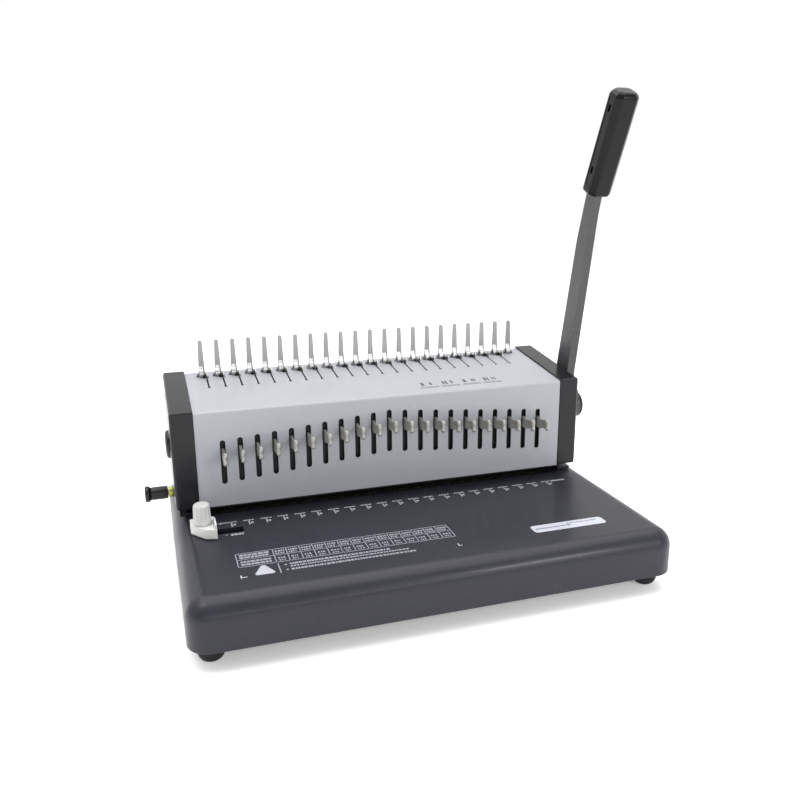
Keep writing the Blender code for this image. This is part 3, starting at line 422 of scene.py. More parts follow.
def turned(profile, centre, turn=UPWARDS, steps=48):
    """Turn a closed or axis-to-axis profile of (radius, height) about its axis."""
    mesh = bmesh.new()
    on_axis = profile[0][0] == 0.0
    rings = []
    for radius, height in profile:
        if radius == 0.0:
            rings.append([mesh.verts.new((0.0, 0.0, height * MM))])
            continue
        ring = []
        for step in range(steps):
            angle = 2 * math.pi * step / steps
            ring.append(mesh.verts.new((radius * MM * math.cos(angle),
                                        radius * MM * math.sin(angle), height * MM)))
        rings.append(ring)
    pairs = list(zip(rings, rings[1:]))
    if not on_axis:
        pairs.append((rings[-1], rings[0]))
    for upper, lower in pairs:
        for step in range(steps):
            following = (step + 1) % steps
            corners = [upper[step % len(upper)], lower[step % len(lower)],
                       lower[following % len(lower)], upper[following % len(upper)]]
            unique = list(dict.fromkeys(corners))
            mesh.faces.new(unique)
    bmesh.ops.recalc_face_normals(mesh, faces=mesh.faces)
    mesh.transform(placing(centre, turn))
    return from_bmesh(mesh)


def loft(rings):
    """Join rings of equally many points, in order, and close both ends."""
    mesh = bmesh.new()
    loops = [[mesh.verts.new(Vector(point) * MM) for point in ring] for ring in rings]
    count = len(loops[0])
    for lower, upper in zip(loops, loops[1:]):
        for index in range(count):
            following = (index + 1) % count
            mesh.faces.new((lower[index], lower[following], upper[following], upper[index]))
    mesh.faces.new(list(reversed(loops[0])))
    mesh.faces.new(loops[-1])
    bmesh.ops.recalc_face_normals(mesh, faces=mesh.faces)
    return from_bmesh(mesh)


def screw_head(centre, radius, height, turn):
    """A pan head with a cross recess."""
    profile = [(0.0, height), (radius * 0.55, height), (radius * 0.86, height * 0.78),
               (radius, height * 0.35), (radius, 0.0), (0.0, 0.0)]
    head = turned(profile, (0, 0, 0), steps=28)
    arm = radius * 0.62
    width = radius * 0.13
    cross = unite(blocks(((-arm, -width, height * 0.45), (arm, width, height + 1))),
                  blocks(((-width, -arm, height * 0.45), (width, arm, height + 1))))
    cut(head, cross)
    head.data.transform(placing(centre, turn))
    return head


# ------------------------ base

BASE_CORNER = 17.0
BASE_EDGE = 15.0
# A tool for a cut through the deck reaches from below it to above it.
THROUGH_DECK = (40.0, 60.0)
TRAY_HALF_X = 149.0
TRAY_RIM_Z = 34.5


def base_rings(inset, edge_radius, top):
    """Rings up the outer wall, round the upper edge and onto the deck."""
    steps = 10
    lip = 0.9
    levels = [(BASE_LOW.z, lip), (BASE_LOW.z + 0.3, lip * 0.35), (BASE_LOW.z + lip, 0.0)]
    for step in range(steps + 1):
        angle = math.pi / 2 * step / steps
        levels.append((top - edge_radius * (1 - math.sin(angle)),
                       edge_radius * (1 - math.cos(angle))))
    rings = []
    for height, further in levels:
        away = inset + further
        outline = round_rectangle(BASE_LOW.x + away, BASE_LOW.y + away, BASE_HIGH.x - away,
                                  BASE_HIGH.y - away, BASE_CORNER - away, 9)
        rings.append([(x, y, height) for x, y in outline])
    return rings


def base_housing():
    """The hollow housing: guide slot, punch window and bolt holes on top, tray mouth behind."""
    outer = loft(base_rings(0.0, BASE_EDGE, DECK_Z))
    inner = loft(base_rings(WALL, 12.8, DECK_Z - WALL))
    inner.data.transform(Matrix.Translation((0, 0, -0.8 * MM)))
    slot = plate([round_rectangle(-171.8, -38.8, -133.7, -29.2, 1.2, 4)], "XY", *THROUGH_DECK)
    window = plate([rectangle(-158.5, 2.0, 158.5, 22.0)], "XY", *THROUGH_DECK)
    half = TRAY_HALF_X + 0.6
    mouth = plate([round_rectangle(-half, 16.9, half, TRAY_RIM_Z + 0.7, 1.0, 3)], "XZ",
                  105.0, 125.0)
    bolts = [circle((side * 175.0, y), 2.5, 20) for side in (-1, 1) for y in (20.0, 80.0)]
    cut(outer, inner, slot, window, mouth, plate(bolts, "XY", *THROUGH_DECK))
    place(outer, "deck_housing", "deck", "base", ["base_shell"])


def base_feet():
    """Four turned rubber feet, hollowed a little underneath."""
    profile = [(0.0, 14.8), (8.0, 14.8), (8.6, 14.0), (9.3, 12.6), (9.8, 10.6), (10.0, 8.4),
               (9.9, 6.2), (9.5, 4.4), (8.8, 2.7), (7.8, 1.3), (6.8, 0.45), (5.8, 0.0),
               (2.6, 0.0), (2.2, 1.6), (0.0, 1.6)]
    for node in ("foot_front_left", "foot_front_right", "foot_rear_left", "foot_rear_right"):
        low, high = machine_box(node)
        middle = (low + high) / 2
        foot = turned(profile, (middle.x, middle.y, 0.0))
        place(foot, f"rubber_{node}", "rubber", "base", [node])


def chip_drawer():
    """The drawer's tray and its rear panel with a finger recess."""
    wall = 2.0
    half = TRAY_HALF_X
    tray = blocks(((-half, TRAY_LOW.y, TRAY_LOW.z + 1.8), (half, TRAY_HIGH.y - 1.0, TRAY_RIM_Z)))
    panel = plate([round_rectangle(TRAY_LOW.x, TRAY_LOW.z, TRAY_HIGH.x, TRAY_HIGH.z, 2.0, 4)],
                  "XZ", TRAY_HIGH.y - WALL, TRAY_HIGH.y)
    unite(tray, panel)
    hollow = blocks(((wall - half, TRAY_LOW.y + wall, 19.0), (half - wall, 111.0, 60.0)))
    recess = plate([round_rectangle(-24.0, 12.0, 24.0, 24.0, 5.0, 8)], "XZ",
                   TRAY_HIGH.y - 1.4, TRAY_HIGH.y + 3.0)
    cut(tray, hollow, recess)
    soften(tray, 0.4, 2)
    place(tray, "chip_drawer", "side", "chip_tray", ["chip_tray"])


# ------------------------ upper unit

# A tool for a cut through the roof reaches from below it to above it.
THROUGH_ROOF = (138.0, 162.0)
# How far the end covers stand above the silver roof.
COVER_RISE = 1.4


def hook_slot(x):
    """A thin slot in the roof that widens to a small eye at its front end."""
    half = 0.7
    eye = arc((x, 55.3), 1.5, 118, 422, 10)
    rear = FINGERS_LOW.y - 1.0
    return [(x - half, rear)] + eye + [(x + half, rear)]


def finger_slot(x, step):
    """A finger's slot in the roof; its right part is wider to the front by step."""
    near = FINGERS_LOW.y - 0.3
    far = FINGERS_HIGH.y + 0.3
    return [(x - 5.0, near), (x + 0.4, near), (x + 0.4, near - step), (x + 5.4, near - step),
            (x + 5.4, far), (x - 5.0, far)]


def sheet_cover():
    """The silver sheet: slotted front, bend, and the roof with its hook and finger slots."""
    roof_angle = math.degrees(math.atan(ROOF_SLOPE))
    bend = 2.2
    centre = (bend, FRONT_TOP_Z - bend + ROOF_SLOPE * bend)
    drop = SHEET * math.sqrt(1 + ROOF_SLOPE ** 2)
    rear = COVER_HIGH.y
    outline = [(0.0, COVER_LOW.z)]
    outline += arc(centre, bend, 180, 90 + roof_angle, 8)
    outline += [(rear, roof_z(rear)), (rear, roof_z(rear) - drop)]
    outline += arc(centre, bend - SHEET, 90 + roof_angle, 180, 8)
    outline += [(SHEET, COVER_LOW.z)]
    sheet = plate([outline], "YZ", COVER_LOW.x, COVER_HIGH.x)
    front_slots = [round_rectangle(x - 2.3, top - 38.0, x + 2.3, top, 2.2, 8)
                   for x, top in zip(TAB_X, SLOT_TOPS)]
    hook_slots = [hook_slot(x + HOOK_SHIFT) for x in TAB_X]
    finger_slots = [finger_slot(hole_x(finger + 0.5), 4.4) for finger in range(HOLE_COUNT)]
    finger_slots.append(finger_slot(hole_x(HOLE_COUNT + 0.5), 0.4))
    cut(sheet, plate(front_slots, "XZ", -4.0, 5.0), plate(hook_slots, "XY", *THROUGH_ROOF),
        plate(finger_slots, "XY", *THROUGH_ROOF))
    soften(sheet, 0.12, 1, 60)
    place(sheet, "silver_cover", "silver", "base", ["top_cover"])


def rear_panel():
    """The rear sheet, turned forward along its lower edge, with four screws."""
    low, high = machine_box("rear_cover")
    outline = [(low.y, low.z), (high.y, low.z), (high.y, high.z), (high.y - SHEET, high.z),
               (high.y - SHEET, low.z + SHEET), (low.y, low.z + SHEET)]
    panel = plate([outline], "YZ", low.x, high.x)
    soften(panel, 0.3, 2)
    place(panel, "rear_panel", "silver", "base", ["rear_cover"])
    number = 0
    for x in (-150.0, 150.0):
        for z in (66.0, 140.0):
            number += 1
            head = screw_head((x, high.y, z), 3.2, 1.6, REARWARDS)
            place(head, f"rear_screw_{number}", "nickel", "base")


def end_ring(x, low, high, inset):
    """An end cover's side outline at x, drawn in by inset, with small round corners."""
    front, rear = low.y + inset, high.y - inset
    bottom, lift = low.z + inset, COVER_RISE - inset
    corners = [(rear, roof_z(rear) + lift), (front, roof_z(front) + lift), (front, bottom),
               (rear, bottom)]
    ring = []
    for index, corner in enumerate(corners):
        here = Vector(corner)
        start = here + (Vector(corners[index - 1]) - here).normalized() * 1.3
        end = here + (Vector(corners[(index + 1) % 4]) - here).normalized() * 1.3
        for step in range(5):
            t = step / 4
            point = start * (1 - t) ** 2 + here * 2 * t * (1 - t) + end * t ** 2
            ring.append((x, point.x, point.y))
    return ring


def end_cover(suffix, side):
    """A moulded end cover: rounded outside, hollow inside, with its shaft hole and screws."""
    node = f"side_cover_{suffix}"
    low, high = machine_box(node)
    inner_x, outer_x = (low.x, high.x) if side > 0 else (high.x, low.x)
    radius = 2.4
    steps = 6
    rings = [end_ring(inner_x, low, high, 0.25), end_ring(inner_x + side * 0.25, low, high, 0.0)]
    for step in range(steps + 1):
        angle = math.pi / 2 * step / steps
        x = outer_x - side * radius * (1 - math.sin(angle))
        rings.append(end_ring(x, low, high, radius * (1 - math.cos(angle))))
    cover = loft(rings)
    front, rear, below = low.y + WALL, high.y - WALL, low.z - 9.0
    cavity = [(front, below), (rear, below), (rear, roof_z(rear) + COVER_RISE - WALL),
              (front, roof_z(front) + COVER_RISE - WALL)]
    span = sorted((inner_x - side * 5.0, outer_x - side * WALL))
    holes = [circle((SHAFT_Y, SHAFT_Z), 7.2, 32)]
    if side < 0:
        holes.append(circle((MARGIN_Y, MARGIN_Z), 3.6, 24))
    hole_span = sorted((outer_x - side * 6.0, outer_x + side * 5.0))
    cut(cover, plate([cavity], "YZ", *span), plate(holes, "YZ", *hole_span))
    place(cover, f"end_cover_{suffix}", "side", "base", [node])
    turn = RIGHTWARDS if side > 0 else LEFTWARDS
    for number, z in enumerate((72.0, 136.0), 1):
        head = screw_head((outer_x - side * 0.4, 82.0, z), 3.0, 0.7, turn)
        place(head, f"end_screw_{suffix}_{number}", "black", "base")


# ------------------------ comb opener

FINGER_BAR_TOP = 149.4
FINGER_TIP_RADIUS = 1.8
# The racks' tooth size, and how far each mid-tooth line runs from the shaft.
MODULE = 1.5
PITCH_RADIUS = 10.5
# The hook plate's racks at its ends, in X.
RACK_INNER_X = 161.2
RACK_OUTER_X = 164.8
CARRIER_LOW = 131.0
CARRIER_HIGH = 133.0
HOOK_THICKNESS = 0.8


def fingers():
    """Twenty-two pressed fingers on their bar, each with a flared, formed foot and round tip."""
    low_y, high_y = FINGERS_LOW.y, FINGERS_HIGH.y
    bar = plate([rectangle(FINGERS_LOW.x, FINGERS_LOW.z, FINGERS_HIGH.x, FINGER_BAR_TOP)], "XZ",
                low_y, high_y)
    place(soften(bar, 0.2), "finger_bar", "finger", "base", ["finger_comb"])
    tip = FINGERS_HIGH.z - FINGER_TIP_RADIUS
    for finger in range(HOLE_COUNT + 1):
        x = hole_x(finger + 0.5)
        left = [(x - 4.7, 149.6), (x - 4.7, 152.6), (x - 4.3, 153.4), (x - 3.0, 154.8),
                (x - 2.7, 156.5), (x - 2.5, 163.0)]
        right = [(2 * x - u, v) for u, v in reversed(left)]
        outline = left + arc((x, tip), FINGER_TIP_RADIUS, 172, 8, 8) + right
        shape = plate([outline], "XZ", low_y, high_y)
        soften(shape, 0.45, 3)
        place(shape, f"finger_{finger + 1:02d}", "finger", "base")
        front = [(0.1, 150.4), (-2.4, 151.6), (-3.3, 153.6), (-3.0, 155.8), (-1.6, 157.6),
                 (-0.3, 158.8), (0.1, 161.6)]
        back = [(1.4, 161.6), (1.2, 158.2), (-0.2, 156.4), (-1.4, 155.0), (-1.6, 153.8),
                (-0.8, 152.6), (1.4, 151.4)]
        foot = plate([[(low_y + y, z) for y, z in front + back]], "YZ", x - 2.6, x + 1.4)
        soften(foot, 0.35, 3, 30)
        # The formed foot is part of the finger but takes the brighter hook steel: a painted
        # highlight at each finger's base, over its real curved shape.
        place(foot, f"finger_foot_{finger + 1:02d}", "hook", "base")


def rack_outline():
    """The hook plate's rack in (Y, Z), teeth down, in mesh with a pinion at rest."""
    tooth = math.pi * MODULE
    half = tooth / 4 - 0.05 * MODULE
    tip = 0.8 * MODULE
    root = 1.25 * MODULE
    pitch_z = SHAFT_Z + PITCH_RADIUS
    slope = math.tan(math.radians(20))
    top = CARRIER_HIGH - 0.5
    rear = 62.0
    points = []
    for index in range(6):
        centre = SHAFT_Y - tooth / 2 + tooth * index
        points += [(centre - half - root * slope, pitch_z + root),
                   (centre - half + tip * slope, pitch_z - tip),
                   (centre + half - tip * slope, pitch_z - tip),
                   (centre + half + root * slope, pitch_z + root)]
    return points + [(rear, pitch_z + root), (rear, top), (points[0][0], top)]


def hooks():
    """The sliding plate, its racks, and a curled hook in every roof slot."""
    half = [(165.0, 60.0), (165.0, 64.0), (170.6, 64.0), (170.6, 70.0), (165.0, 70.0),
            (165.0, 78.0), (170.6, 78.0), (170.6, 84.0), (165.0, 84.0), (165.0, 87.6)]
    outline = half + [(-x, y) for x, y in reversed(half)]
    carrier = plate([outline], "XY", CARRIER_LOW, CARRIER_HIGH)
    unite(carrier, plate([rack_outline()], "YZ", RACK_INNER_X, RACK_OUTER_X),
          plate([rack_outline()], "YZ", -RACK_OUTER_X, -RACK_INNER_X))
    place(carrier, "hook_carrier", "nickel", "hook_plate", ["hook_plate"])
    profile = [(74.1, 133.2), (74.1, 151.0), (73.6, 151.8)]
    profile += arc((74.5, 154.3), 2.2, 215, 60, 9)
    profile += [(75.5, 154.6), (76.4, 153.8), (78.8, 153.6)]
    profile += arc((78.8, 151.2), 2.4, 90, 0, 5)
    profile += [(81.2, 133.2)]
    for index, x in enumerate(TAB_X):
        middle = x + HOOK_SHIFT
        hook = plate([profile], "YZ", middle - HOOK_THICKNESS / 2, middle + HOOK_THICKNESS / 2)
        soften(hook, 0.15, 2)
        place(hook, f"hook_{index + 1:02d}", "hook", "hook_plate")


# ------------------------ release tabs

def release_tab(hole):
    """A wavy arm through the front slot with a turned, waisted pull at its end."""
    x = TAB_X[hole - 1]
    top = SLOT_TOPS[hole - 1]
    arm = [(11.0, -14.5), (11.0, -9.0), (3.4, -9.0), (2.4, -7.6), (1.0, -7.1), (-3.0, -7.6),
           (-7.0, -8.1), (-10.5, -7.6), (-14.0, -6.5), (-18.9, -6.2), (-18.9, -14.4),
           (-15.0, -14.2), (-12.0, -15.0), (-8.5, -16.4), (-4.0, -16.9), (1.0, -16.7),
           (2.4, -16.0), (3.4, -14.5)]
    shape = plate([[(y, top + z) for y, z in arm]], "YZ", x - 1.1, x + 1.1)
    soften(shape, 0.3, 2)
    profile = [(0.0, 5.6), (0.9, 5.5), (1.6, 5.0), (2.0, 4.1), (2.1, 2.8), (1.95, 1.2),
               (1.75, 0.0), (1.8, -1.2), (1.95, -2.4), (2.0, -3.4), (1.8, -4.2), (1.3, -4.8),
               (0.0, -5.0)]
    pull = turned(profile, (x, -19.4, top - 10.4), steps=24)
    name = f"release_tab_{hole:02d}"
    place(shape, f"tab_arm_{hole:02d}", "tab", name, [name])
    place(pull, f"tab_pull_{hole:02d}", "tab", name)


# ------------------------ lever

GRIP_FOOT = Vector((-4.5, 312.8))
GRIP_LEAN = math.radians(24.9)
GRIP_LOW = -5.0
GRIP_HIGH = 84.0
GRIP_HALF_X = 10.9
GRIP_HALF_Y = 10.0
GRIP_CHAMFER = 4.5
ARM_X = (ARM_LOW.x + ARM_HIGH.x) / 2
GRIP_X = ARM_X + 1.0
TANG_TOP = 50.0
TANG_HALF = 6.5


def grip_point(along, across):
    """A point of the grip's own frame as (Y, Z); along is up the grip, across to the rear."""
    return (GRIP_FOOT.x - along * math.sin(GRIP_LEAN) + across * math.cos(GRIP_LEAN),
            GRIP_FOOT.y + along * math.cos(GRIP_LEAN) + across * math.sin(GRIP_LEAN))


def lever_bar():
    """The painted bar from its hub, round-edged, with its tang inside the grip."""
    hub = (SHAFT_Y, SHAFT_Z)
    front = [(24.0, 137.8), (24.5, 139.6), (24.2, 141.6), (-2.9, 286.6), (-4.1, 292.0)]
    rear = [(12.9, 282.0), (17.6, 267.5), (19.6, 258.5), (44.3, 149.0), (45.9, 143.6),
            (45.6, 139.8)]
    tang = [grip_point(GRIP_LOW - 2.0, -TANG_HALF), grip_point(TANG_TOP, -TANG_HALF),
            grip_point(TANG_TOP, TANG_HALF), grip_point(GRIP_LOW - 2.0, TANG_HALF)]
    outline = arc(hub, HUB_RADIUS, -20.7, -213.3, 30) + front + tang + rear
    bar = plate([outline], "YZ", ARM_LOW.x, ARM_HIGH.x)
    soften(bar, 1.1, 4, 50)
    cut(bar, plate([circle(hub, 6.13, 40)], "YZ", ARM_LOW.x - 5, ARM_HIGH.x + 5))
    place(bar, "lever_bar", "lever", "lever", ["lever_arm"])


def grip_ring(along, half):
    """The grip's eight-sided section with soft corners, half being its half depth there."""
    scale = half / GRIP_HALF_Y
    half_x = scale * GRIP_HALF_X
    chamfer = scale * GRIP_CHAMFER
    flat_x = half_x - chamfer
    flat_y = half - chamfer
    soft = min(0.8, chamfer * 0.3)
    corners = [(half_x, -flat_y), (half_x, flat_y), (flat_x, half), (-flat_x, half),
               (-half_x, flat_y), (-half_x, -flat_y), (-flat_x, -half), (flat_x, -half)]
    ring = []
    for index, corner in enumerate(corners):
        here = Vector(corner)
        before = (Vector(corners[index - 1]) - here).normalized() * soft
        after = (Vector(corners[(index + 1) % 8]) - here).normalized() * soft
        for point in (here + before, here + (before + after) * 0.25, here + after):
            y, z = grip_point(along, point.y)
            ring.append((GRIP_X + point.x, y, z))
    return ring


def slanted(low, high, half, x_low, x_high):
    """A block lying along the grip."""
    outline = [grip_point(low, -half), grip_point(low, half), grip_point(high, half),
               grip_point(high, -half)]
    return plate([outline], "YZ", x_low, x_high)


def grip():
    """The moulded grip: domed top, softly chamfered sides, a channel with two blind slots."""
    rise = [(0.0, 8.4), (0.4, 9.2), (1.4, 9.8), (3.0, GRIP_HALF_Y)]
    rings = [grip_ring(GRIP_LOW + along, half) for along, half in rise]
    dome = 6.0
    steps = 8
    for step in range(steps + 1):
        angle = math.pi / 2 * step / steps
        rings.append(grip_ring(GRIP_HIGH - dome * (1 - math.sin(angle)),
                               GRIP_HALF_Y - dome * (1 - math.cos(angle))))
    body = loft(rings)
    tools = [slanted(-10.0, TANG_TOP + 5.5, TANG_HALF + 0.3, ARM_X - 4.3, ARM_X + 4.3)]
    for side in (-1, 1):
        face = GRIP_X + side * GRIP_HALF_X
        for low, high, half, depth in ((3.0, 78.0, 3.6, 0.35), (13.0, 19.0, 1.6, 2.4),
                                       (66.0, 72.0, 1.6, 2.4)):
            span = sorted((face - side * depth, face + side * 4))
            tools.append(slanted(low, high, half, *span))
    cut(body, *tools)
    place(body, "grip_body", "grip", "lever", ["lever_grip"])


def caps():
    """The domed caps that close both ends of the drive shaft."""
    for name, node, turn in (("hub_cap", "lever_hub_cap", RIGHTWARDS),
                             ("left_cap", "shaft_cap_left", LEFTWARDS)):
        low, high = machine_box(node)
        radius = (high.z - low.z) / 2
        thick = high.x - low.x
        inner = low.x if turn is RIGHTWARDS else high.x
        profile = [(0.0, thick - 0.5), (radius * 0.42, thick - 0.5), (radius * 0.46, thick - 0.1)]
        profile += [(radius * out, thick * up) for out, up in (
            (0.52, 1.0), (0.70, 0.98), (0.84, 0.88), (0.94, 0.70), (0.99, 0.46), (1.0, 0.25),
            (1.0, 0.0), (0.0, 0.0))]
        cap = turned(profile, (inner, (low.y + high.y) / 2, (low.z + high.z) / 2), turn, 56)
        place(cap, name, "black", "lever", [node])


# ------------------------ margin knob and side guide

# The margin rod's radius with room for it, and the side guide's own sizes.
ROD_HOLE = 3.3
GUIDE_TOP = 60.3
GUIDE_REAR = -22.0


def margin_knob():
    """A slim knob with two shallow grooves and a flared end, on a yellow zinc collar."""
    length = KNOB_HIGH.x - KNOB_LOW.x
    radius = (KNOB_HIGH.z - KNOB_LOW.z) / 2
    profile = [(0.0, length - 0.6), (4.6, length - 0.6), (5.4, length), (6.4, length - 0.2),
               (radius, length - 1.0), (radius, length - 3.0), (6.5, length - 3.6),
               (5.8, length - 4.3), (5.6, length - 4.8), (5.3, length - 5.2),
               (5.3, length - 5.8), (5.6, length - 6.2), (5.6, 2.4), (5.3, 2.0), (5.3, 1.4),
               (5.5, 1.0), (5.3, 0.2), (4.9, 0.0), (ROD_HOLE, 0.0), (ROD_HOLE, 14.0),
               (0.0, 14.0)]
    knob = turned(profile, (KNOB_HIGH.x, MARGIN_Y, MARGIN_Z), LEFTWARDS, 40)
    place(knob, "margin_knob_body", "black", "margin_stop", ["margin_knob"])
    wide = (COLLAR_HIGH.z - COLLAR_LOW.z) / 2 - 1.2
    deep = COLLAR_HIGH.x - COLLAR_LOW.x
    ring = [(ROD_HOLE, 0.0), (wide - 0.6, 0.0), (wide - 0.15, -0.2), (wide, -0.7),
            (wide, 0.7 - deep), (wide - 0.15, 0.2 - deep), (wide - 0.6, -deep),
            (ROD_HOLE, -deep)]
    collar = turned(ring, (COLLAR_LOW.x, MARGIN_Y, MARGIN_Z), LEFTWARDS, 40)
    place(collar, "zinc_collar", "zinc", "margin_stop", ["margin_collar"])


def side_guide():
    """The ivory guide block: chamfered, edges softened, with its thin paper fin."""
    outline = [(GUIDE_LOW.x, GUIDE_REAR), (GUIDE_LOW.x, -32.6), (-164.5, -46.5),
               (-156.4, GUIDE_LOW.y), (GUIDE_HIGH.x, -48.4), (GUIDE_HIGH.x, GUIDE_REAR)]
    block = plate([outline], "XY", DECK_Z + 0.3, GUIDE_TOP)
    soften(block, 0.9, 3)
    middle = (GUIDE_KNOB_LOW + GUIDE_KNOB_HIGH) / 2
    centre = (middle.x, middle.y)
    fin = plate([[(-48.2, 58.0), (-29.6, 58.0), (-29.8, 61.2), (-33.0, 63.8), (-36.0, 64.4),
                  (-45.8, 64.6), (-47.6, 64.1), (-48.3, 63.0)]], "YZ", -156.9, -155.4)
    soften(fin, 0.35, 2)
    tongue = blocks(((-170.0, -38.3, DECK_Z - 2.6), (-160.0, -29.7, 55.0)))
    unite(block, fin, tongue)
    cut(block, plate([circle(centre, 2.4, 24)], "XY", 40.0, 70.0))
    place(block, "guide_block", "white", "side_guide", ["side_guide"])
    guide_knob(centre)


def guide_knob(centre):
    """A tapered fluted knob with a plain skirt, a domed top and its clamping screw."""
    flutes = 12
    steps = flutes * 6
    # Height, radius and depth of the flutes.
    levels = [(60.7, 7.1, 0.0), (61.0, 7.3, 0.0), (62.6, 7.3, 0.0), (63.2, 7.1, 0.1),
              (64.2, 6.95, 0.5), (70.0, 6.7, 0.55), (74.4, 6.45, 0.5), (75.4, 6.35, 0.25),
              (76.2, 6.05, 0.08), (76.8, 5.4, 0.0), (77.0, 4.5, 0.0)]
    rings = []
    for height, radius, flute in levels:
        ring = []
        for step in range(steps):
            angle = 2 * math.pi * step / steps
            wave = max(0.0, math.cos(angle * flutes)) ** 0.7
            reach = radius - flute * wave
            x = centre[0] + reach * math.cos(angle)
            ring.append((x, centre[1] + reach * math.sin(angle), height))
        rings.append(ring)
    knob = loft(rings)
    stem = turned([(0.0, 62.0), (2.0, 62.0), (2.0, 43.6), (1.6, 43.0), (0.0, 43.0)],
                  (*centre, 0.0), steps=24)
    unite(knob, stem)
    place(knob, "guide_knob_body", "knob", "side_guide_knob", ["side_guide_knob"])


# ------------------------ prints and label

# Prints and the label start a little below their surface so that no gap shows.
PRINT_SINK = 0.02
PRINT_LIFT = 0.05
LABEL_LIFT = 0.25
# Sizes of the settings table.
TABLE_LEFT, TABLE_RIGHT = -146.0, 22.5
TABLE_TOP, TABLE_MIDDLE, TABLE_BOTTOM = -79.0, -90.2, -102.0
TABLE_COLUMNS = 14


def prisms(outlines, low, high):
    """One mesh of separate flat prisms, each from its own outline."""
    mesh = bmesh.new()
    for outline in outlines:
        lower = [mesh.verts.new((x * MM, y * MM, low * MM)) for x, y in outline]
        upper = [mesh.verts.new((x * MM, y * MM, high * MM)) for x, y in outline]
        mesh.faces.new(lower)
        mesh.faces.new(upper)
        for index in range(len(outline)):
            following = (index + 1) % len(outline)
            mesh.faces.new((lower[index], lower[following], upper[following], upper[index]))
    bmesh.ops.recalc_face_normals(mesh, faces=mesh.faces)
    return from_bmesh(mesh)


def print_layer(name, marks, material):
    """Thin raised ink made of flat outlines on the deck."""
    layer = prisms(marks, DECK_Z - PRINT_SINK, DECK_Z + PRINT_LIFT)
    place(layer, name, material, "base")


def dashes(left, y, right, height, gap=0.5, shortest=0.9, longest=2.4):
    """Plain strokes in a row that stand for a line of print without forming letters."""
    marks = []
    x = left
    while x < right - shortest:
        width = random.uniform(shortest, longest)
        end = min(x + width, right)
        marks.append(rectangle(x, y, end, y + height))
        x = end + gap * random.uniform(0.8, 1.6)
    return marks


def hole_marks():
    """A T mark in front of every punch with a tick and a plain block beside it."""
    marks = []
    for hole in range(1, HOLE_COUNT + 1):
        x = hole_x(hole) + 1.0
        marks += dashes(x - 4.6, -19.2, x + 4.8, 1.9, 0.35, 0.8, 1.8)
        marks.append(rectangle(x - 0.5, -27.6, x + 0.6, -20.0))
        marks.append(rectangle(x + 1.2, -25.4, x + 3.4, -22.4))
    first = hole_x(1)
    last = hole_x(HOLE_COUNT)
    marks.append([(first - 10.0, -18.4), (first - 6.6, -20.4), (first - 6.6, -16.4)])
    marks += dashes(first - 6.0, -19.2, first - 4.0, 1.9)
    marks += dashes(last + 6.4, -19.8, last + 21.0, 2.6, 0.3, 2.0, 4.0)
    return marks


def size_table():
    """The settings table: frame, columns and plain strokes in its cells."""
    left, right = TABLE_LEFT, TABLE_RIGHT
    top, middle, bottom = TABLE_TOP, TABLE_MIDDLE, TABLE_BOTTOM
    line = 0.7
    first = left + 28.0
    columns = [first + (right - first) * step / TABLE_COLUMNS
               for step in range(TABLE_COLUMNS + 1)]
    marks = [rectangle(left, top - line, right, top), rectangle(left, bottom, right, bottom + line),
             rectangle(left, bottom, left + line, top),
             rectangle(left, middle, right, middle + line)]
    for x in columns:
        marks.append(rectangle(x - line / 2, bottom, x + line / 2, top))
    cells = []
    for x, following in zip(columns, columns[1:]):
        cells += dashes(x + 1.4, middle + 5.6, following - 1.4, 2.6, 0.5, 0.8, 1.8)
        cells += dashes(x + 1.4, middle + 2.0, following - 2.0, 2.2, 0.5, 0.8, 1.8)
        cells += dashes(x + 2.0, bottom + 5.8, following - 2.0, 2.4, 0.6, 0.8, 1.8)
        cells += dashes(x + 2.4, bottom + 2.2, following - 2.4, 2.0, 0.6, 0.8, 1.4)
    fill = []
    for row in (top - 5.0, top - 9.0, bottom + 6.6, bottom + 2.4):
        fill += dashes(left + 2.6, row, first - 3.0, 2.8, 0.4, 1.6, 4.0)
    return marks, cells, fill


def notes():
    """A triangle pictogram, a divider and three lines of strokes under the table."""
    triangle = arc((-128.4, -105.6), 2.4, 50, 130, 4) + arc((-133.6, -115.6), 2.0, 150, 250, 4)
    triangle += arc((-123.4, -115.8), 2.0, 290, 390, 4)
    marks = [rectangle(-118.0, -119.0, -117.2, -103.8), circle((-112.4, -107.4), 1.0, 10),
             circle((-112.4, -115.4), 1.0, 10)]
    marks += dashes(-109.4, -108.0, -32.0, 2.5, 0.45, 1.0, 3.0)
    marks += dashes(-109.4, -111.8, -18.0, 2.0, 0.5, 0.8, 2.4)
    marks += dashes(-109.4, -116.8, -14.0, 2.5, 0.5, 1.0, 3.0)
    return triangle, marks


def small_marks():
    """The print's corner ticks and the short scale in front of the guide's slot."""
    marks = [rectangle(-146.2, -119.0, -145.2, -114.4), rectangle(-145.2, -118.2, -141.4, -117.2),
             rectangle(18.6, -118.8, 19.5, -114.8), rectangle(19.5, -118.8, 21.6, -117.9)]
    marks.append(circle((-148.0, -42.6), 0.8, 8))
    marks += dashes(-144.6, -44.6, -134.6, 3.0, 0.4, 1.4, 2.6)
    return marks


def deck_prints():
    """Every mark printed on the deck."""
    print_layer("hole_marks_print", hole_marks(), "ink")
    lines, cells, fill = size_table()
    print_layer("table_lines_print", lines, "thin_ink")
    print_layer("table_cells_print", cells, "thin_ink")
    print_layer("table_fill_print", fill, "thin_ink")
    triangle, lines = notes()
    print_layer("triangle_print", [triangle], "ink")
    print_layer("notes_print", lines, "thin_ink")
    print_layer("small_marks_print", small_marks(), "ink")


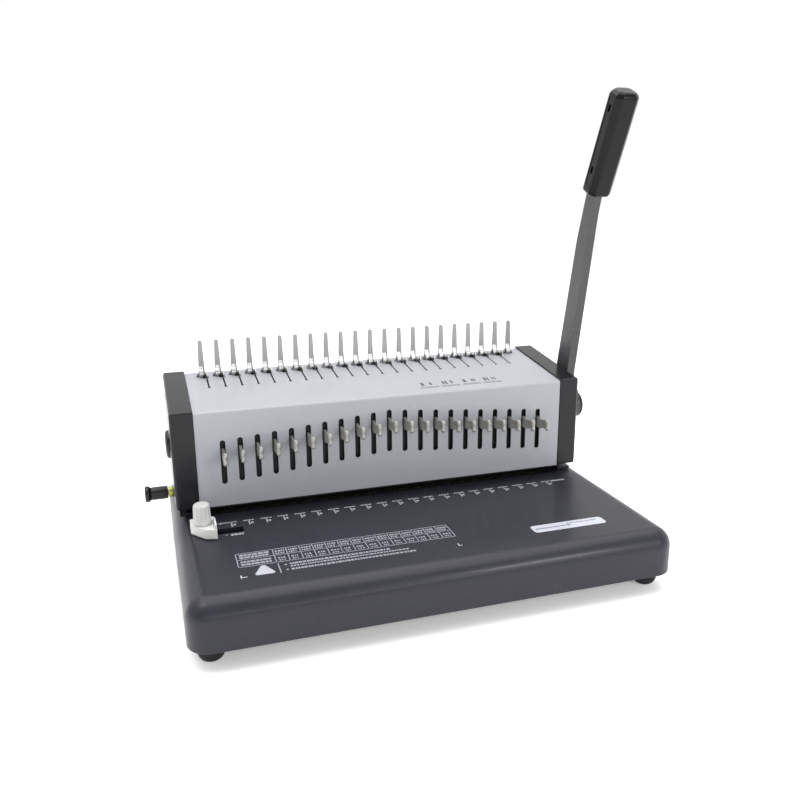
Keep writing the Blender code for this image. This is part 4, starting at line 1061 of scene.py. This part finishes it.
def deck_label():
    """The foil label at the right with two faint rows of strokes."""
    outline = round_rectangle(84.4, -117.0, 148.4, -104.6, 3.2, 6)
    label = plate([outline], "XY", DECK_Z - PRINT_SINK, DECK_Z + LABEL_LIFT)
    place(soften(label, 0.08, 1), "foil_label", "label", "base")
    strokes = dashes(87.0, -112.0, 118.0, 1.6, 0.4, 1.0, 3.0) + dashes(116.0, -109.2, 143.0, 1.3)
    layer = prisms(strokes, DECK_Z + 0.2, DECK_Z + LABEL_LIFT + 0.03)
    place(layer, "label_print", "fill_ink", "base")


def roof_pictograms():
    """Four small groups of plain marks above a rule on the roof, near its front right."""
    marks = []
    for group in range(4):
        left = 33.0 + 20.2 * group
        marks.append(rectangle(left, 11.0, left + 17.6, 12.0))
        marks.append(rectangle(left, 13.2, left + 17.6, 13.7))
        marks += dashes(left + 3.0, 16.4, left + 8.0, 7.5, 0.8, 1.6, 3.0)
        marks += dashes(left + 11.0, 17.6, left + 15.0, 6.0, 0.8, 1.2, 2.2)
    layer = prisms(marks, -PRINT_SINK, PRINT_LIFT)
    tilt = Matrix(((1, 0, 0, 0), (0, 1, 0, 0), (0, ROOF_SLOPE, 1, FRONT_TOP_Z * MM), (0, 0, 0, 1)))
    layer.data.transform(tilt)
    place(layer, "roof_pictograms", "dark_ink", "base")


# ------------------------ hidden working parts

def coil_spring(suffix):
    """A return spring of round wire, which the pulled lever squeezes; it is made here at rest."""
    node = f"return_spring_{suffix}"
    low, high = machine_box(node)
    turns = 6
    steps = 24
    coil_radius = 2.55 * MM
    wire_radius = 0.5 * MM
    end_gap = 0.55
    curve = bpy.data.curves.new(node, "CURVE")
    curve.dimensions = "3D"
    curve.bevel_depth = wire_radius
    curve.bevel_resolution = 3
    curve.use_fill_caps = True
    spline = curve.splines.new("POLY")
    spline.points.add(turns * steps)
    rise = (high.z - low.z - 2 * end_gap) * MM
    for index, point in enumerate(spline.points):
        angle = 2 * math.pi * index / steps
        along = index / (turns * steps)
        eased = along + 0.04 * math.sin(2 * math.pi * along)
        point.co = (coil_radius * math.cos(angle), coil_radius * math.sin(angle), rise * eased, 1.0)
    obj = add_object("coil", curve_mesh(curve))
    middle = (low + high) / 2
    obj.data.transform(placing((middle.x, middle.y, low.z + end_gap), UPWARDS))
    obj.location = ORIGIN
    place(obj, f"coil_spring_{suffix}", "spring", "base", [node])
    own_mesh(obj)


CAD_FINISH = {
    # The die block, punch guide and punch carriage get the near-black steel: painted shade for the
    # dark inside of the slots.
    "slot_shade_steel": ["die_block", "punch_guide", "punch_carriage"],
    "steel": ["drive_shaft", "pinion_left", "pinion_right", "margin_shaft", "side_guide_nut",
              "frame_bolt_1", "frame_bolt_2", "frame_bolt_3", "frame_bolt_4"],
    "side": ["base_plate"],
    "black": ["shaft_bush_left", "shaft_bush_right", "side_frame_left", "side_frame_right"],
}


def finish_cad_nodes():
    """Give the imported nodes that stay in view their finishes."""
    for material, nodes in CAD_FINISH.items():
        for node in nodes:
            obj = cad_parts[node]
            obj.data.materials.clear()
            obj.data.materials.append(MATERIAL[material])


# ------------------------ floor, light and camera

def floor():
    """A plain pale floor with a faint glow, so that it stays white around the object."""
    mesh = bmesh.new()
    bmesh.ops.create_grid(mesh, x_segments=2, y_segments=2, size=6.0)
    obj = from_bmesh(mesh, "pale_floor")
    material = bpy.data.materials.new("pale_floor")
    material.use_nodes = True
    shader = material.node_tree.nodes["Principled BSDF"]
    set_inputs(shader, {"Base Color": (0.94, 0.94, 0.94, 1.0), "Roughness": 0.9,
                        "Emission Color": (1.0, 1.0, 1.0, 1.0), "Emission Strength": 0.26,
                        "Specular IOR Level": 0.1})
    obj.data.materials.append(material)


def area_light(name, at, target, size, power):
    """A white rectangular light at one point, in metres, turned to another."""
    data = bpy.data.lights.new(name, "AREA")
    data.shape = "RECTANGLE"
    data.size, data.size_y = size
    data.energy = power
    obj = add_object(name, data)
    obj.location = at
    obj.rotation_euler = (Vector(target) - Vector(at)).to_track_quat("-Z", "Y").to_euler()


def lights():
    """A white studio, dimmer behind the camera, with a softbox, a key, a strip and a fill."""
    world = bpy.data.worlds.new("studio")
    world.use_nodes = True
    tree = world.node_tree
    background = tree.nodes["Background"]
    direction = add_node(tree, "ShaderNodeTexCoord", -900, 0).outputs["Generated"]
    toward = add_node(tree, "ShaderNodeVectorMath", -700, 0, operation="DOT_PRODUCT")
    toward.inputs[1].default_value = (0.20, 0.95, 0.10)
    tree.links.new(direction, toward.inputs[0])
    level = remap(tree, toward.outputs["Value"], 0.48, 1.0, -450, 0, -0.85, 0.25)
    set_inputs(background, {"Color": (1.0, 1.0, 1.0, 1.0)})
    tree.links.new(level, background.inputs["Strength"])
    bpy.context.scene.world = world
    target = (0.0, 0.0, 0.10)
    area_light("top_softbox", (0.1, 0.25, 1.5), target, (2.2, 1.6), 20.0)
    area_light("key", (0.66, -1.2, 0.68), target, (0.30, 0.30), 4.5)
    area_light("front_strip", (0.0, -1.3, 0.36), target, (1.8, 0.10), 3.0)
    area_light("fill", (-0.7, -0.1, 1.3), (-0.1, 0.0, 0.1), (0.5, 0.5), 3.5)


def camera():
    """The view from the left of centre, looking down to the right."""
    data = bpy.data.cameras.new("camera")
    data.sensor_width = 36.0
    data.lens = 36.525
    obj = add_object("camera", data)
    right = Vector((0.95273, -0.30370, -0.00812))
    forward = Vector((0.29082, 0.91940, -0.26480))
    up = right.cross(forward).normalized()
    turn = Matrix((right, up, -forward)).transposed()
    position = ORIGIN + Vector((-194.573, -646.333, 322.75)) * MM
    obj.matrix_world = Matrix.Translation(position) @ turn.to_4x4()
    bpy.context.scene.camera = obj


# ------------------------ the whole scene

def build():
    """Every piece, then the stage; the prints draw their random strokes in this order."""
    base_housing()
    base_feet()
    chip_drawer()
    sheet_cover()
    rear_panel()
    end_cover("left", -1)
    end_cover("right", 1)
    fingers()
    hooks()
    for hole in range(1, HOLE_COUNT + 1):
        release_tab(hole)
    lever_bar()
    grip()
    caps()
    margin_knob()
    side_guide()
    deck_prints()
    deck_label()
    roof_pictograms()
    for suffix in ("left", "right"):
        coil_spring(suffix)
    finish_cad_nodes()
    floor()
    lights()
    camera()


bpy.context.scene.view_settings.view_transform = "Standard"
build()
